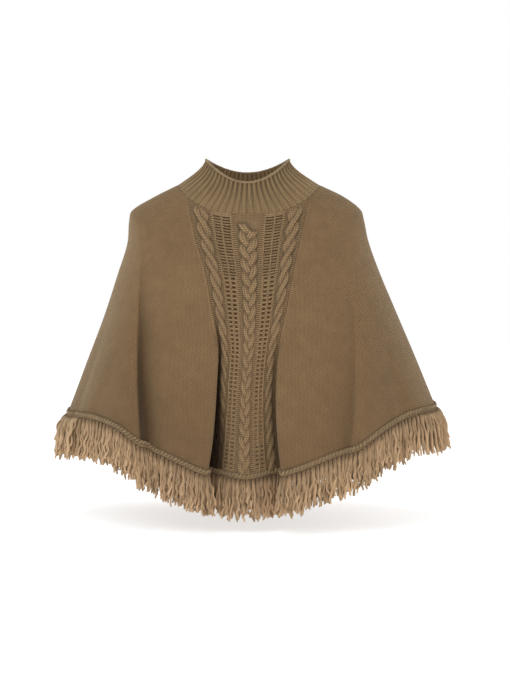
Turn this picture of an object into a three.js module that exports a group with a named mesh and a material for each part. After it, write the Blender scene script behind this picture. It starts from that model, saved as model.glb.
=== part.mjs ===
// Knitted poncho sweater: a ribbed funnel collar, a cabled front panel between two plain front panels
// that fold over its edges, a plain back, a hem band and a fringe of yarn locks.
// Millimetres, +Z up, the front faces -Y. The origin lies between the shoulders at the base of the neck,
// and the garment hangs open and hollow, as it does when it is worn. Left and right are as seen from the
// front.
import * as THREE from "three";

// Cloth
const WALL = 2.5;
const SEAM_GAP = 0.3;
const NECK_GAP = 1; // wider where the walls on both sides bend
const HEM_GAP = 0.8;
const BAND_WALL = 3.8;
const BAND_PROUD = 0.7;
const BAND_SHARE = 0.022; // of the cloth's length, which makes the band about 10 mm deep

// Height of the neckline at the side, the front and the back
const NECK_Z = { side: 16, front: -32, back: -8 };
const NECK_CURVE = 3;

// Height of the lower edge, by share of the half-width from the middle, on each side of the front and back.
// It rises towards the sides, with a short step at the front's two sharp folds.
const HEM_LINE = [
  { at: 0.0, frontLeft: -482, frontRight: -482, backLeft: -478, backRight: -478 },
  { at: 0.15, frontLeft: -476, frontRight: -476, backLeft: -473, backRight: -473 },
  { at: 0.25, frontLeft: -468, frontRight: -467, backLeft: -466, backRight: -465 },
  { at: 0.35, frontLeft: -455, frontRight: -455, backLeft: -457, backRight: -455 },
  { at: 0.45, frontLeft: -443, frontRight: -444, backLeft: -446, backRight: -443 },
  { at: 0.53, frontLeft: -434, frontRight: -436, backLeft: -437, backRight: -433 },
  { at: 0.6, frontLeft: -413, frontRight: -421, backLeft: -429, backRight: -424 },
  { at: 0.66, frontLeft: -399, frontRight: -408, backLeft: -421, backRight: -416 },
  { at: 0.75, frontLeft: -389, frontRight: -392, backLeft: -410, backRight: -403 },
  { at: 0.87, frontLeft: -384, frontRight: -379, backLeft: -398, backRight: -388 },
  { at: 1.0, frontLeft: -391, frontRight: -379, backLeft: -391, backRight: -379 },
];
const SHOULDER_REACH = 2.5; // how narrowly the shoulder's slope keeps to the side line

// Levels of the body, from the neckline (0) to the lower edge (1): reach to the wearer's sides, front and
// back, squareness of the section, and the share of the drop that the side line has made.
const LEVELS = [
  { at: 0.0, left: 124, right: 130, front: 80, back: 84, square: 2.0, sideDrop: 0.0 },
  { at: 0.1, left: 166, right: 172, front: 97, back: 96, square: 2.1, sideDrop: 0.052 },
  { at: 0.19, left: 203.5, right: 201, front: 115, back: 105, square: 2.2, sideDrop: 0.109 },
  { at: 0.24, left: 209, right: 207, front: 127, back: 110, square: 2.25, sideDrop: 0.154 },
  { at: 0.32, left: 212, right: 215, front: 142, back: 116, square: 2.3, sideDrop: 0.249 },
  { at: 0.44, left: 229, right: 234, front: 160, back: 124, square: 2.3, sideDrop: 0.383 },
  { at: 0.6, left: 253, right: 264, front: 176, back: 136, square: 2.3, sideDrop: 0.562 },
  { at: 0.8, left: 287, right: 301, front: 191, back: 151, square: 2.3, sideDrop: 0.78 },
  { at: 1.0, left: 321, right: 337, front: 205, back: 168, square: 2.3, sideDrop: 1.0 },
];

// Half-width of the cabled panel that shows, from the middle to the line where each plain panel starts
const PANEL_EDGES = [
  { at: 0.0, left: 103, right: 107 },
  { at: 0.12, left: 89, right: 93 },
  { at: 0.24, left: 71, right: 80 },
  { at: 0.37, left: 59, right: 68 },
  { at: 0.5, left: 49, right: 55 },
  { at: 0.68, left: 51, right: 49 },
  { at: 0.86, left: 57, right: 52 },
  { at: 1.0, left: 66, right: 59 },
];

// The two deep pleats: each plain panel turns back at a fold, runs in behind it, and meets the cabled
// panel in a valley. Turn is in degrees; run, the straight stretch, and the radii are at the lower edge.
const PLEATS = {
  left: { opens: 0.41, turned: 0.54, turn: 112, run: 38, foldRadius: 5, valleyRadius: 6 },
  right: { opens: 0.43, turned: 0.57, turn: 104, run: 34, foldRadius: 5, valleyRadius: 6 },
};
const LEAST_PLEAT = { run: 2, foldRadius: 3.2, valleyRadius: 2 }; // where the pleats open
const LEAST_STEP = 0.3;
const MIDDLE_RECESS = 0.45; // the cabled panel's middle stays this share of the pleat's depth behind

// Soft folds that hang from the shoulders and across the back. Place is the share of the half-width where
// the fold runs, at the neck and at the lower edge; height is outwards; inner and outer are its widths.
const FRONT_FOLDS = [
  { side: "left", neck: 1.01, hem: 0.615, starts: 0.2, height: 12, inner: 0.05, outer: 0.15 },
  { side: "left", neck: 0.99, hem: 0.545, starts: 0.3, height: -17, inner: 0.2, outer: 0.03 },
  { side: "left", neck: 0.96, hem: 0.95, starts: 0.4, height: -5, inner: 0.03, outer: 0.03 },
  { side: "right", neck: 1.0, hem: 0.575, starts: 0.22, height: 9, inner: 0.045, outer: 0.12 },
  { side: "right", neck: 0.95, hem: 0.507, starts: 0.42, height: -9, inner: 0.12, outer: 0.036 },
];
const BACK_FOLDS = [
  { side: "left", neck: 1.0, hem: 0.76, starts: 0.22, height: 10, inner: 0.1, outer: 0.1 },
  { side: "left", neck: 0.8, hem: 0.52, starts: 0.38, height: -11, inner: 0.12, outer: 0.09 },
  { side: "left", neck: 0.2, hem: 0.22, starts: 0.5, height: 9, inner: 0.12, outer: 0.14 },
  { side: "right", neck: 0.1, hem: 0.07, starts: 0.5, height: -8, inner: 0.1, outer: 0.12 },
  { side: "right", neck: 0.7, hem: 0.42, starts: 0.36, height: 11, inner: 0.12, outer: 0.1 },
  { side: "right", neck: 0.98, hem: 0.7, starts: 0.26, height: -9, inner: 0.1, outer: 0.08 },
];

const FOLD_ENDS = 1.05; // folds grow until this share, just below the lower edge
const SEAM_FADE = 2.5; // and die out towards the side seams at this rate

// Columns and rows of the walls
const ROWS = [0, 0.05, 0.1, 0.15, 0.2, 0.25, 0.32, 0.41, 0.51, 0.63, 0.75, 0.87, 1 - BAND_SHARE];
const FOLD_STEPS = 4;
const RUN_STEPS = 2;
const VALLEY_STEPS = 3;
const FRONT_STEPS = { toGroove: 5, toRidge: 4, toSide: 7 };
const GROOVE_COLUMN = 0.985; // the columns at a groove and its ridge lie this far out towards their middles
const RIDGE_COLUMN = 0.985;
const BACK_STEPS = 26;
const PANEL_LENGTH = 454;
const CABLE_ROW = 7.4;

// Stations across half of the cabled panel, from the middle (0) to its seam (1). The outer face has them
// all, and the inner face those that are marked. Cable stations have close rows of points, and ladder
// stations have a row at each end of every gap.
const PANEL_STATIONS = [
  { out: 0, kind: "cable", inside: true },
  { out: 0.06, kind: "cable" },
  { out: 0.115, kind: "cable" },
  { out: 0.175, kind: "cable" },
  { out: 0.32, kind: "ladder", inside: true },
  { out: 0.42, kind: "ladder", inside: true, gapBefore: true },
  { out: 0.48, kind: "ladder", inside: true },
  { out: 0.57, kind: "ladder", inside: true, gapBefore: true },
  { out: 0.675, kind: "cable", inside: true },
  { out: 0.76, kind: "cable", inside: true },
  { out: 0.83, kind: "cable", inside: true },
  { out: 0.9, kind: "cable", inside: true },
  { out: 0.965, kind: "cable" },
  { out: 1, kind: "cable", inside: true },
];

// Cables: a plait of three strands in the middle, and a rope of two strands by each seam
const CABLE_HEIGHT = 5;
const CABLE_TOP = 1;
const CABLE_FADE = 13;
const PLAIT = { centre: 0, half: 0.175, lobe: 22, strands: 3, swing: 0.6, strand: 0.42 };
const ROPE = { centre: 0.8, half: 0.12, lobe: 27, strands: 2, swing: 0.5, strand: 0.55 };

// Ladders of open stitches beside the plait. Below the shoulders their gaps are over 4 mm and cut through.
const LADDER = { top: 92, pitch: 7.5, gap: 4.4, gaps: 46 };

// Collar: a ribbed tube that widens from its rim to the neckline
const RIM = { left: 72.5, right: 74, front: 54, back: 54, sideZ: 61, frontZ: 21, backZ: 38 };
const RIBS = 58;
const RIB_HEIGHT = 1.5;
const COLLAR_ROWS = [0, 0.06, 0.5, 1];
const COLLAR_FLARE = 1.65;
const RIM_BEAD = 0.9;
const RIB_FADE = 0.2; // the ribs lose this share of their height by the collar's base
const COLLAR_INNER_ROWS = [0, 0.5, 1];
const COLLAR_STEP = 0.02;

// Fringe: locks of yarn that hang from a narrow strip under the hem band
const LOCK_PITCH = 11.5;
const HEM_HALF = 330;
const STRIP_GAP = 0.9;
const STRIP_HEIGHT = 2.6;
const STRIP_WALL = 2.4;
const LOCK_LENGTH = { least: 58, most: 76 };
const LOCK = { waistAt: 0.3, waistWidth: 0.56, waistThick: 3.8, endWidth: 0.42 };
const LOCK_LEAN = 18; // how far the locks at the wearer's sides swing out
const LOCK_LEAN_FROM = 0.7; // and from what share of the half-width on
const LOCK_SWAY = 0.3; // of the pitch, from end to end of what a lock's tip may swing sideways
const LOCK_SPRING = { most: 5, least: 1, turn: 0.7, reach: 0.8 }; // how far locks bow out on their way down
const SEED_STEP = 7;

const YARN = new THREE.MeshStandardMaterial({ color: 0x7d674e, roughness: 0.95, metalness: 0 });
const RIB_YARN = new THREE.MeshStandardMaterial({ color: 0x77634a, roughness: 0.95, metalness: 0 });
const CABLE_YARN = new THREE.MeshStandardMaterial({ color: 0x826c4f, roughness: 0.95, metalness: 0 });
const FRINGE_YARN = new THREE.MeshStandardMaterial({ color: 0x94775a, roughness: 0.98, metalness: 0 });

const SIGN = { left: -1, right: 1 };
const ANGLE_STEP = 0.01; // small steps that directions along and down the cloth are measured over
const SHARE_STEP = 0.004;
const lerp = (a, b, t) => a + (b - a) * t;
const clamp01 = (t) => Math.min(1, Math.max(0, t));
const easeBetween = (low, high, value) => {
  const t = clamp01((value - low) / (high - low));
  return t * t * (3 - 2 * t);
};
const repeatable = (seed) => {
  const wild = Math.sin(seed * 12.9898) * 43758.5453;
  return wild - Math.floor(wild);
};

// The value of one column of a table at a share, on a smooth curve through its rows.
function fromTable(table, column, at) {
  const last = table.length - 1;
  let i = table.findIndex((row) => row.at > at) - 1;
  if (i < 0) i = at <= table[0].at ? 0 : last - 1;
  const slope = (k) => {
    const [a, b] = [table[Math.max(0, k - 1)], table[Math.min(last, k + 1)]];
    return (b[column] - a[column]) / (b.at - a.at);
  };
  const [low, high] = [table[i], table[i + 1]];
  const span = high.at - low.at;
  const t = (at - low.at) / span;
  const t2 = t * t;
  const t3 = t2 * t;
  return (
    (2 * t3 - 3 * t2 + 1) * low[column] +
    (t3 - 2 * t2 + t) * span * slope(i) +
    (3 * t2 - 2 * t3) * high[column] +
    (t3 - t2) * span * slope(i + 1)
  );
}

// Height of a point of the body: share is its distance down, out its share of the half-width.
function bodyZ(face, side, out, share) {
  const neck = NECK_Z[face] + (NECK_Z.side - NECK_Z[face]) * out ** NECK_CURVE;
  const hem = fromTable(HEM_LINE, face + (side === "left" ? "Left" : "Right"), out);
  const drop = lerp(share, fromTable(LEVELS, "sideDrop", share), out ** SHOULDER_REACH);
  return lerp(neck, hem, drop);
}

// How far the soft folds push a point of the body outwards.
function foldHeight(folds, side, out, share) {
  let height = 0;
  for (const fold of folds) {
    const place = lerp(fold.neck, fold.hem, share);
    const away = (fold.side === side ? out : -out) - place;
    const width = away < 0 ? fold.inner : fold.outer;
    height += fold.height * easeBetween(fold.starts, FOLD_ENDS, share) * Math.exp(-((away / width) ** 2));
  }
  return height;
}

// A point of one quarter of the body's section. Angle is 0 at the side and a quarter turn in the middle.
function quarterPoint(face, side, angle, share) {
  const half = fromTable(LEVELS, side, share);
  const depth = fromTable(LEVELS, face, share);
  const power = 2 / fromTable(LEVELS, "square", share);
  const facing = face === "front" ? -1 : 1;
  const out = Math.max(0, Math.cos(angle)) ** power;
  const deep = Math.max(0, Math.sin(angle)) ** power;
  const folds = face === "front" ? FRONT_FOLDS : BACK_FOLDS;
  const push = foldHeight(folds, side, out, share) * clamp01(deep * SEAM_FADE);
  const normal = new THREE.Vector2(out / half, deep / depth).normalize();
  return new THREE.Vector3(
    SIGN[side] * (half * out + push * normal.x),
    facing * (depth * deep + push * normal.y),
    bodyZ(face, side, out, share),
  );
}

const angleAt = (side, out, share) =>
  Math.acos(clamp01(out) ** (fromTable(LEVELS, "square", share) / 2));

// A pleat's places at a share, as pairs of distances along the body's line and straight in from it: round
// the fold, along the straight run behind it, and round the valley to the seam.
function pleatPlaces(side, share) {
  const pleat = PLEATS[side];
  const turn = THREE.MathUtils.degToRad(pleat.turn) * easeBetween(pleat.opens, pleat.turned, share);
  const opened = clamp01((share - pleat.opens) / (1 - pleat.opens));
  const sized = (name) => lerp(LEAST_PLEAT[name], pleat[name], opened);
  const [run, foldRadius, valleyRadius] = [sized("run"), sized("foldRadius"), sized("valleyRadius")];
  const [sin, cos] = [Math.sin(turn), Math.cos(turn)];
  const places = [];
  for (let i = 1; i <= FOLD_STEPS; i++) {
    const a = (turn * i) / FOLD_STEPS;
    places.push([foldRadius * Math.sin(a) + i * LEAST_STEP, foldRadius * (1 - Math.cos(a))]);
  }
  const foldEnd = places.at(-1);
  for (let i = 1; i <= RUN_STEPS; i++) {
    const far = (run * i) / RUN_STEPS;
    places.push([foldEnd[0] + far * cos, foldEnd[1] + far * sin]);
  }
  const runEnd = places.at(-1);
  for (let i = 1; i <= VALLEY_STEPS; i++) {
    const a = turn * (1 - i / VALLEY_STEPS);
    places.push([
      runEnd[0] + valleyRadius * (sin - Math.sin(a)) + i * LEAST_STEP,
      runEnd[1] + valleyRadius * (Math.cos(a) - cos),
    ]);
  }
  return places;
}

// The plain front panel of one side at a share, from its side seam to the valley of its pleat.
function plainFront(side, share) {
  const half = fromTable(LEVELS, side, share);
  const places = pleatPlaces(side, share);
  const reach = Math.max(...places.map(([along]) => along));
  const foldAngle = angleAt(side, (fromTable(PANEL_EDGES, side, share) + reach) / half, share);
  const [ridge, groove] = FRONT_FOLDS.filter((fold) => fold.side === side);
  const grooveAngle = angleAt(side, lerp(groove.neck, groove.hem, share) * GROOVE_COLUMN, share);
  const ridgeAngle = angleAt(side, lerp(ridge.neck, ridge.hem, share) * RIDGE_COLUMN, share);
  const stretches = [
    { from: 0, to: ridgeAngle, steps: FRONT_STEPS.toSide },
    { from: ridgeAngle, to: grooveAngle, steps: FRONT_STEPS.toRidge },
    { from: grooveAngle, to: foldAngle, steps: FRONT_STEPS.toGroove },
  ];
  const points = [quarterPoint("front", side, 0, share)];
  for (const { from, to, steps } of stretches)
    for (let i = 1; i <= steps; i++)
      points.push(quarterPoint("front", side, lerp(from, to, i / steps), share));

  const pace =
    quarterPoint("front", side, foldAngle + ANGLE_STEP, share).distanceTo(
      quarterPoint("front", side, foldAngle - ANGLE_STEP, share),
    ) /
    (2 * ANGLE_STEP);
  for (const [along, deep] of places) {
    const angle = foldAngle + along / pace;
    const point = quarterPoint("front", side, angle, share);
    const ahead = quarterPoint("front", side, angle + ANGLE_STEP, share);
    const inward = new THREE.Vector2(ahead.x - point.x, ahead.y - point.y).normalize();
    point.x += SIGN[side] * inward.y * deep;
    point.y += Math.abs(inward.x) * deep;
    point.z = bodyZ("front", side, Math.abs(point.x) / half, share);
    points.push(point);
  }
  return points;
}

// A point of the cabled panel between its two seams: across is -1 at the left seam and 1 at the right one.
function panelPoint(seams, across, share) {
  const side = across < 0 ? "left" : "right";
  const x = lerp(seams.left.x, seams.right.x, (across + 1) / 2);
  const surfaceY = (at) => {
    const which = at < 0 ? "left" : "right";
    const half = fromTable(LEVELS, which, share);
    const square = fromTable(LEVELS, "square", share);
    return -fromTable(LEVELS, "front", share) * (1 - Math.abs(at / half) ** square) ** (1 / square);
  };
  const seam = seams[side];
  const depth = seam.y - surfaceY(seam.x);
  const middleDepth =
    (MIDDLE_RECESS * (seams.left.y - surfaceY(seams.left.x) + seams.right.y - surfaceY(seams.right.x))) / 2;
  const towardsSeam = Math.sin((Math.PI / 2) * Math.abs(across)) ** 2;
  const y = surfaceY(x) + lerp(middleDepth, depth, towardsSeam);
  return new THREE.Vector3(x, y, bodyZ("front", side, Math.abs(x) / fromTable(LEVELS, side, share), share));
}

// The panel's columns in the section's order, from the right seam (1) to the left one (-1). A gap lies
// before its column on the left half, and so after it on the right half.
const RIGHT_STATIONS = PANEL_STATIONS.slice(1).reverse();
const PANEL_COLUMNS = [
  ...RIGHT_STATIONS.map((station, i) => ({
    ...station,
    across: station.out,
    gapBefore: RIGHT_STATIONS[i - 1]?.gapBefore,
  })),
  ...PANEL_STATIONS.map((station) => ({ ...station, across: -station.out })),
];

// One closed section of the body, from the right side seam round the front to the left one and back.
function section(share) {
  const right = plainFront("right", share);
  const left = plainFront("left", share);
  const seams = { right: right.at(-1), left: left.at(-1) };
  const panel = PANEL_COLUMNS.slice(1, -1).map(({ across }) => panelPoint(seams, across, share));
  const back = [];
  for (let i = 1; i < BACK_STEPS; i++) {
    const t = (2 * i) / BACK_STEPS;
    const side = t < 1 ? "left" : "right";
    back.push(quarterPoint("back", side, (Math.PI / 2) * (t < 1 ? t : 2 - t), share));
  }
  return [...right, ...panel, ...left.reverse(), ...back];
}

const FRONT_COUNT = plainFront("right", 0.5).length;
const RIGHT_SEAM = FRONT_COUNT - 1;
const LEFT_SEAM = RIGHT_SEAM + PANEL_COLUMNS.length - 1;
const LEFT_SIDE = LEFT_SEAM + FRONT_COUNT - 1;
const RING_COUNT = section(0.5).length;

// The outer points of a closed section with their outward normals and their directions along the section.
function skin(share) {
  const ring = section(share);
  const above = section(Math.max(0, share - SHARE_STEP));
  const below = section(Math.min(1, share + SHARE_STEP));
  return ring.map((point, i) => {
    const ahead = ring[(i + 1) % RING_COUNT];
    const behind = ring[(i + RING_COUNT - 1) % RING_COUNT];
    const along = ahead.clone().sub(behind).normalize();
    const down = below[i].clone().sub(above[i]);
    const normal = along.clone().cross(down).normalize();
    return { point, normal, along };
  });
}

// A stretch of a skin between two columns, drawn in by half a seam gap at both ends.
function stretch(ring, from, to) {
  const picked = [];
  for (let i = from; i <= to; i++) {
    const { point, normal, along } = ring[i % RING_COUNT];
    const shift = i === from ? SEAM_GAP / 2 : i === to ? -SEAM_GAP / 2 : 0;
    picked.push({ point: point.clone().addScaledVector(along, shift), normal, along });
  }
  return picked;
}

const moved = ({ point, normal }, distance) => point.clone().addScaledVector(normal, distance);

// Closed geometry from triangles that are lists of three points.
function geometryOf(triangles) {
  const positions = new Float32Array(triangles.flat().flatMap((p) => [p.x, p.y, p.z]));
  return new THREE.BufferGeometry().setAttribute("position", new THREE.BufferAttribute(positions, 3));
}

// Triangles between two lines of points, whose places along the edge are given as shares.
function stitch(first, firstAt, second, secondAt) {
  const triangles = [];
  let [i, j] = [0, 0];
  while (i < first.length - 1 || j < second.length - 1) {
    const nextFirst = i < first.length - 1 ? firstAt[i + 1] : Infinity;
    const nextSecond = j < second.length - 1 ? secondAt[j + 1] : Infinity;
    if (nextFirst <= nextSecond) triangles.push([first[i], second[j], first[++i]]);
    else triangles.push([first[i], second[j], second[++j]]);
  }
  return triangles;
}

const evenly = (count) => Array.from({ length: count }, (_, i) => i / (count - 1));

function sheet(grid, facingOut) {
  const triangles = [];
  for (let r = 0; r < grid.length - 1; r++)
    for (let c = 0; c < grid[r].length - 1; c++) {
      const [a, b, d, e] = [grid[r][c], grid[r][c + 1], grid[r + 1][c + 1], grid[r + 1][c]];
      triangles.push(...(facingOut ? [[a, b, d], [a, d, e]] : [[a, d, b], [a, e, d]]));
    }
  return triangles;
}

// A wall between an outer and an inner grid of points, which may have different rows and columns.
// RowsAt and columnsAt give the places of each grid's rows and columns; closed joins its two ends.
function wall(outer, inner, { outerRowsAt, innerRowsAt, outerColumnsAt, innerColumnsAt, closed = false }) {
  const triangles = [...sheet(outer, true), ...sheet(inner, false)];
  const reversed = (list) => [...list].reverse();
  const turned = (list) => reversed(list).map((t) => 1 - t);
  triangles.push(...stitch(outer[0], outerColumnsAt, inner[0], innerColumnsAt));
  triangles.push(
    ...stitch(reversed(outer.at(-1)), turned(outerColumnsAt), reversed(inner.at(-1)), turned(innerColumnsAt)),
  );
  if (!closed) {
    const edge = (grid, column) => grid.map((row) => row.at(column));
    triangles.push(...stitch(edge(outer, -1), outerRowsAt, edge(inner, -1), innerRowsAt));
    triangles.push(
      ...stitch(reversed(edge(outer, 0)), turned(outerRowsAt), reversed(edge(inner, 0)), turned(innerRowsAt)),
    );
  }
  return geometryOf(triangles);
}

// A wall whose two faces have the same rows and columns.
function evenWall(rows, thickness, proud = 0) {
  const outer = rows.map((row) => row.map((p) => moved(p, proud)));
  const inner = rows.map((row) => row.map((p) => moved(p, proud - thickness)));
  const rowsAt = evenly(rows.length);
  const columnsAt = evenly(rows[0].length);
  return wall(outer, inner, {
    outerRowsAt: rowsAt,
    innerRowsAt: rowsAt,
    outerColumnsAt: columnsAt,
    innerColumnsAt: columnsAt,
  });
}

// Each body row stays half a gap away from the collar and from the hem band.
const bodyShares = ROWS.map((share, i) => {
  if (i === 0) return NECK_GAP / PANEL_LENGTH;
  return i === ROWS.length - 1 ? share - HEM_GAP / 2 / PANEL_LENGTH : share;
});
const bodyRings = bodyShares.map(skin);
const plainPanel = (from, to) => evenWall(bodyRings.map((ring) => stretch(ring, from, to)), WALL);

// Height of a cable's surface above the cloth: place is its share of the cable's half-width, and down is
// the distance from the neckline. A rope's strands lie over on one way across, a plait's on both.
function cableHeight(cable, place, down) {
  if (Math.abs(place) >= 1) return 0;
  let height = 0;
  const period = cable.lobe * cable.strands;
  for (let k = 0; k < cable.strands; k++) {
    const angle = 2 * Math.PI * (down / period + k / cable.strands);
    const centre = -cable.swing * Math.sin(angle);
    const over = cable.strands === 2 ? Math.cos(angle) : -Math.sin(2 * angle);
    const round = 1 - ((place - centre) / cable.strand) ** 2;
    height = Math.max(height, Math.sqrt(Math.max(0, round)) * (0.62 + 0.38 * over));
  }
  return CABLE_HEIGHT * height;
}

function panelRelief(across, share) {
  const down = share * PANEL_LENGTH;
  const out = Math.abs(across);
  const plait = cableHeight(PLAIT, across / PLAIT.half, down);
  const rope = cableHeight(ROPE, (out - ROPE.centre) / ROPE.half, down);
  return (plait + rope) * easeBetween(CABLE_TOP, CABLE_TOP + CABLE_FADE, down);
}

// A share's row of the panel, with its seams straight between the rows of the plain panels beside it.
function panelRow(share) {
  const row = stretch(skin(share), RIGHT_SEAM, LEFT_SEAM);
  let i = bodyShares.findIndex((at) => at > share) - 1;
  if (i < 0) i = bodyShares.length - 2;
  const t = (share - bodyShares[i]) / (bodyShares[i + 1] - bodyShares[i]);
  const [low, high] = [bodyRings[i], bodyRings[i + 1]].map((ring) => stretch(ring, RIGHT_SEAM, LEFT_SEAM));
  for (const end of [0, row.length - 1]) {
    row[end].point = low[end].point.clone().lerp(high[end].point, t);
    row[end].normal = low[end].normal.clone().lerp(high[end].normal, t);
  }
  return row;
}

const [TOP_SHARE, BOTTOM_SHARE] = [bodyShares[0], bodyShares.at(-1)];
const cableRows = evenly(Math.round(((BOTTOM_SHARE - TOP_SHARE) * PANEL_LENGTH) / CABLE_ROW)).map((t) =>
  lerp(TOP_SHARE, BOTTOM_SHARE, t),
);
const ladderRows = [TOP_SHARE, LADDER.top / 2 / PANEL_LENGTH];
for (let i = 0; i < LADDER.gaps; i++) {
  const start = LADDER.top + i * LADDER.pitch;
  ladderRows.push(start / PANEL_LENGTH, (start + LADDER.gap) / PANEL_LENGTH);
}
ladderRows.push(BOTTOM_SHARE);
const isGap = (row) => row >= 2 && row % 2 === 0 && row < 2 + 2 * LADDER.gaps;

function cabledPanel() {
  const sets = { cable: cableRows, ladder: ladderRows, body: bodyShares };
  const rings = Object.fromEntries(Object.entries(sets).map(([kind, rows]) => [kind, rows.map(panelRow)]));
  const outerColumn = (station, c) => ({
    ...station,
    rowsAt: sets[station.kind],
    points: rings[station.kind].map((row, r) =>
      moved(row[c], panelRelief(station.across, sets[station.kind][r])),
    ),
  });
  const innerColumn = (station, c) => {
    const kind = station.kind === "ladder" ? "ladder" : "body";
    return { ...station, rowsAt: sets[kind], points: rings[kind].map((row) => moved(row[c], -WALL)) };
  };
  const outer = PANEL_COLUMNS.map(outerColumn);
  const inner = PANEL_COLUMNS.map(innerColumn).filter((column) => column.inside);
  const triangles = [];
  const faces = (columns, flip) => {
    for (let c = 1; c < columns.length; c++) {
      const [a, b] = [columns[c - 1], columns[c]];
      const part =
        a.rowsAt === b.rowsAt
          ? a.points.slice(1).flatMap((_, r) =>
              b.gapBefore && isGap(r)
                ? []
                : [
                    [a.points[r], b.points[r], b.points[r + 1]],
                    [a.points[r], b.points[r + 1], a.points[r + 1]],
                  ],
            )
          : stitch(a.points, a.rowsAt, b.points, b.rowsAt);
      triangles.push(...(flip ? part.map(([p, q, s]) => [p, s, q]) : part));
    }
  };
  faces(outer, false);
  faces(inner, true);

  // The four sides of every gap
  const quad = (p, q, s, t) => triangles.push([p, q, s], [p, s, t]);
  for (let c = 1; c < outer.length; c++) {
    if (!outer[c].gapBefore) continue;
    const ends = [outer[c - 1], outer[c]];
    const [a, b] = ends.map((column) => column.points);
    const [d, e] = ends.map(({ across }) => inner.find((column) => column.across === across).points);
    for (let r = 0; r < a.length - 1; r++) {
      if (!isGap(r)) continue;
      quad(b[r], e[r], d[r], a[r]);
      quad(a[r + 1], d[r + 1], e[r + 1], b[r + 1]);
      quad(a[r], d[r], d[r + 1], a[r + 1]);
      quad(b[r + 1], e[r + 1], e[r], b[r]);
    }
  }

  // The panel's own four edges
  const rowOf = (columns, r) => columns.map((column) => column.points.at(r));
  const acrossOf = (columns) => columns.map(({ across }) => 1 - across);
  const reversed = (list) => [...list].reverse();
  const turned = (list) => reversed(list).map((t) => -t);
  triangles.push(...stitch(rowOf(outer, 0), acrossOf(outer), rowOf(inner, 0), acrossOf(inner)));
  triangles.push(
    ...stitch(
      reversed(rowOf(outer, -1)),
      turned(acrossOf(outer)),
      reversed(rowOf(inner, -1)),
      turned(acrossOf(inner)),
    ),
  );
  const [lastOuter, lastInner] = [outer.at(-1), inner.at(-1)];
  triangles.push(...stitch(lastOuter.points, lastOuter.rowsAt, lastInner.points, lastInner.rowsAt));
  triangles.push(
    ...stitch(
      reversed(outer[0].points),
      turned(outer[0].rowsAt),
      reversed(inner[0].points),
      turned(inner[0].rowsAt),
    ),
  );
  return geometryOf(triangles);
}

// A point of the collar: angle runs once round from the right side over the front, share from rim to base.
function collarPoint(angle, share) {
  const [c, s] = [Math.cos(angle), Math.sin(angle)];
  const side = c < 0 ? "left" : "right";
  const face = s > 0 ? "front" : "back";
  const spread = share ** COLLAR_FLARE;
  const top = RIM[`${face}Z`];
  const rimZ = lerp(top, RIM.sideZ, c * c);
  const baseZ = bodyZ(face, side, Math.abs(c), 0);
  return new THREE.Vector3(
    c * lerp(RIM[side], LEVELS[0][side], spread),
    -s * lerp(RIM[face], LEVELS[0][face], spread),
    lerp(rimZ, baseZ, share),
  );
}

// The direction in which the collar's wall runs down. At its base it is the body's, so that their edges lie
// side by side.
function collarSlope(angle, share) {
  const near = COLLAR_STEP;
  if (share < 1) return collarPoint(angle, share + near).sub(collarPoint(angle, Math.max(0, share - near)));
  const [c, s] = [Math.cos(angle), Math.sin(angle)];
  const below = quarterPoint(
    s > 0 ? "front" : "back",
    c < 0 ? "left" : "right",
    Math.atan2(Math.abs(s), Math.abs(c)),
    near,
  );
  return below.sub(collarPoint(angle, share));
}

function collar() {
  const around = (count) => Array.from({ length: count + 1 }, (_, i) => i / count);
  const grid = (count, shares, relief) =>
    shares.map((share) => {
      const points = around(count)
        .slice(0, -1)
        .map((turn, i) => {
          const angle = 2 * Math.PI * turn;
          const point = collarPoint(angle, share);
          const along = collarPoint(angle + COLLAR_STEP, share).sub(collarPoint(angle - COLLAR_STEP, share));
          const normal = along.cross(collarSlope(angle, share)).normalize();
          return moved({ point, normal }, relief(i, share));
        });
      return [...points, points[0]];
    });
  const outerRelief = (i, share) => {
    if (share === 0) return RIM_BEAD;
    return i % 2 ? 0 : RIB_HEIGHT * (1 - RIB_FADE * share);
  };
  return wall(grid(RIBS * 2, COLLAR_ROWS, outerRelief), grid(RIBS, COLLAR_INNER_ROWS, () => -WALL), {
    outerRowsAt: COLLAR_ROWS,
    innerRowsAt: COLLAR_INNER_ROWS,
    outerColumnsAt: around(RIBS * 2),
    innerColumnsAt: around(RIBS),
    closed: true,
  });
}

const bandRings = [1 - BAND_SHARE + HEM_GAP / 2 / PANEL_LENGTH, 1].map(skin);
const bandRows = (from, to) => bandRings.map((ring) => stretch(ring, from, to));
const hemBand = (from, to) => evenWall(bandRows(from, to), BAND_WALL, BAND_PROUD);

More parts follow.
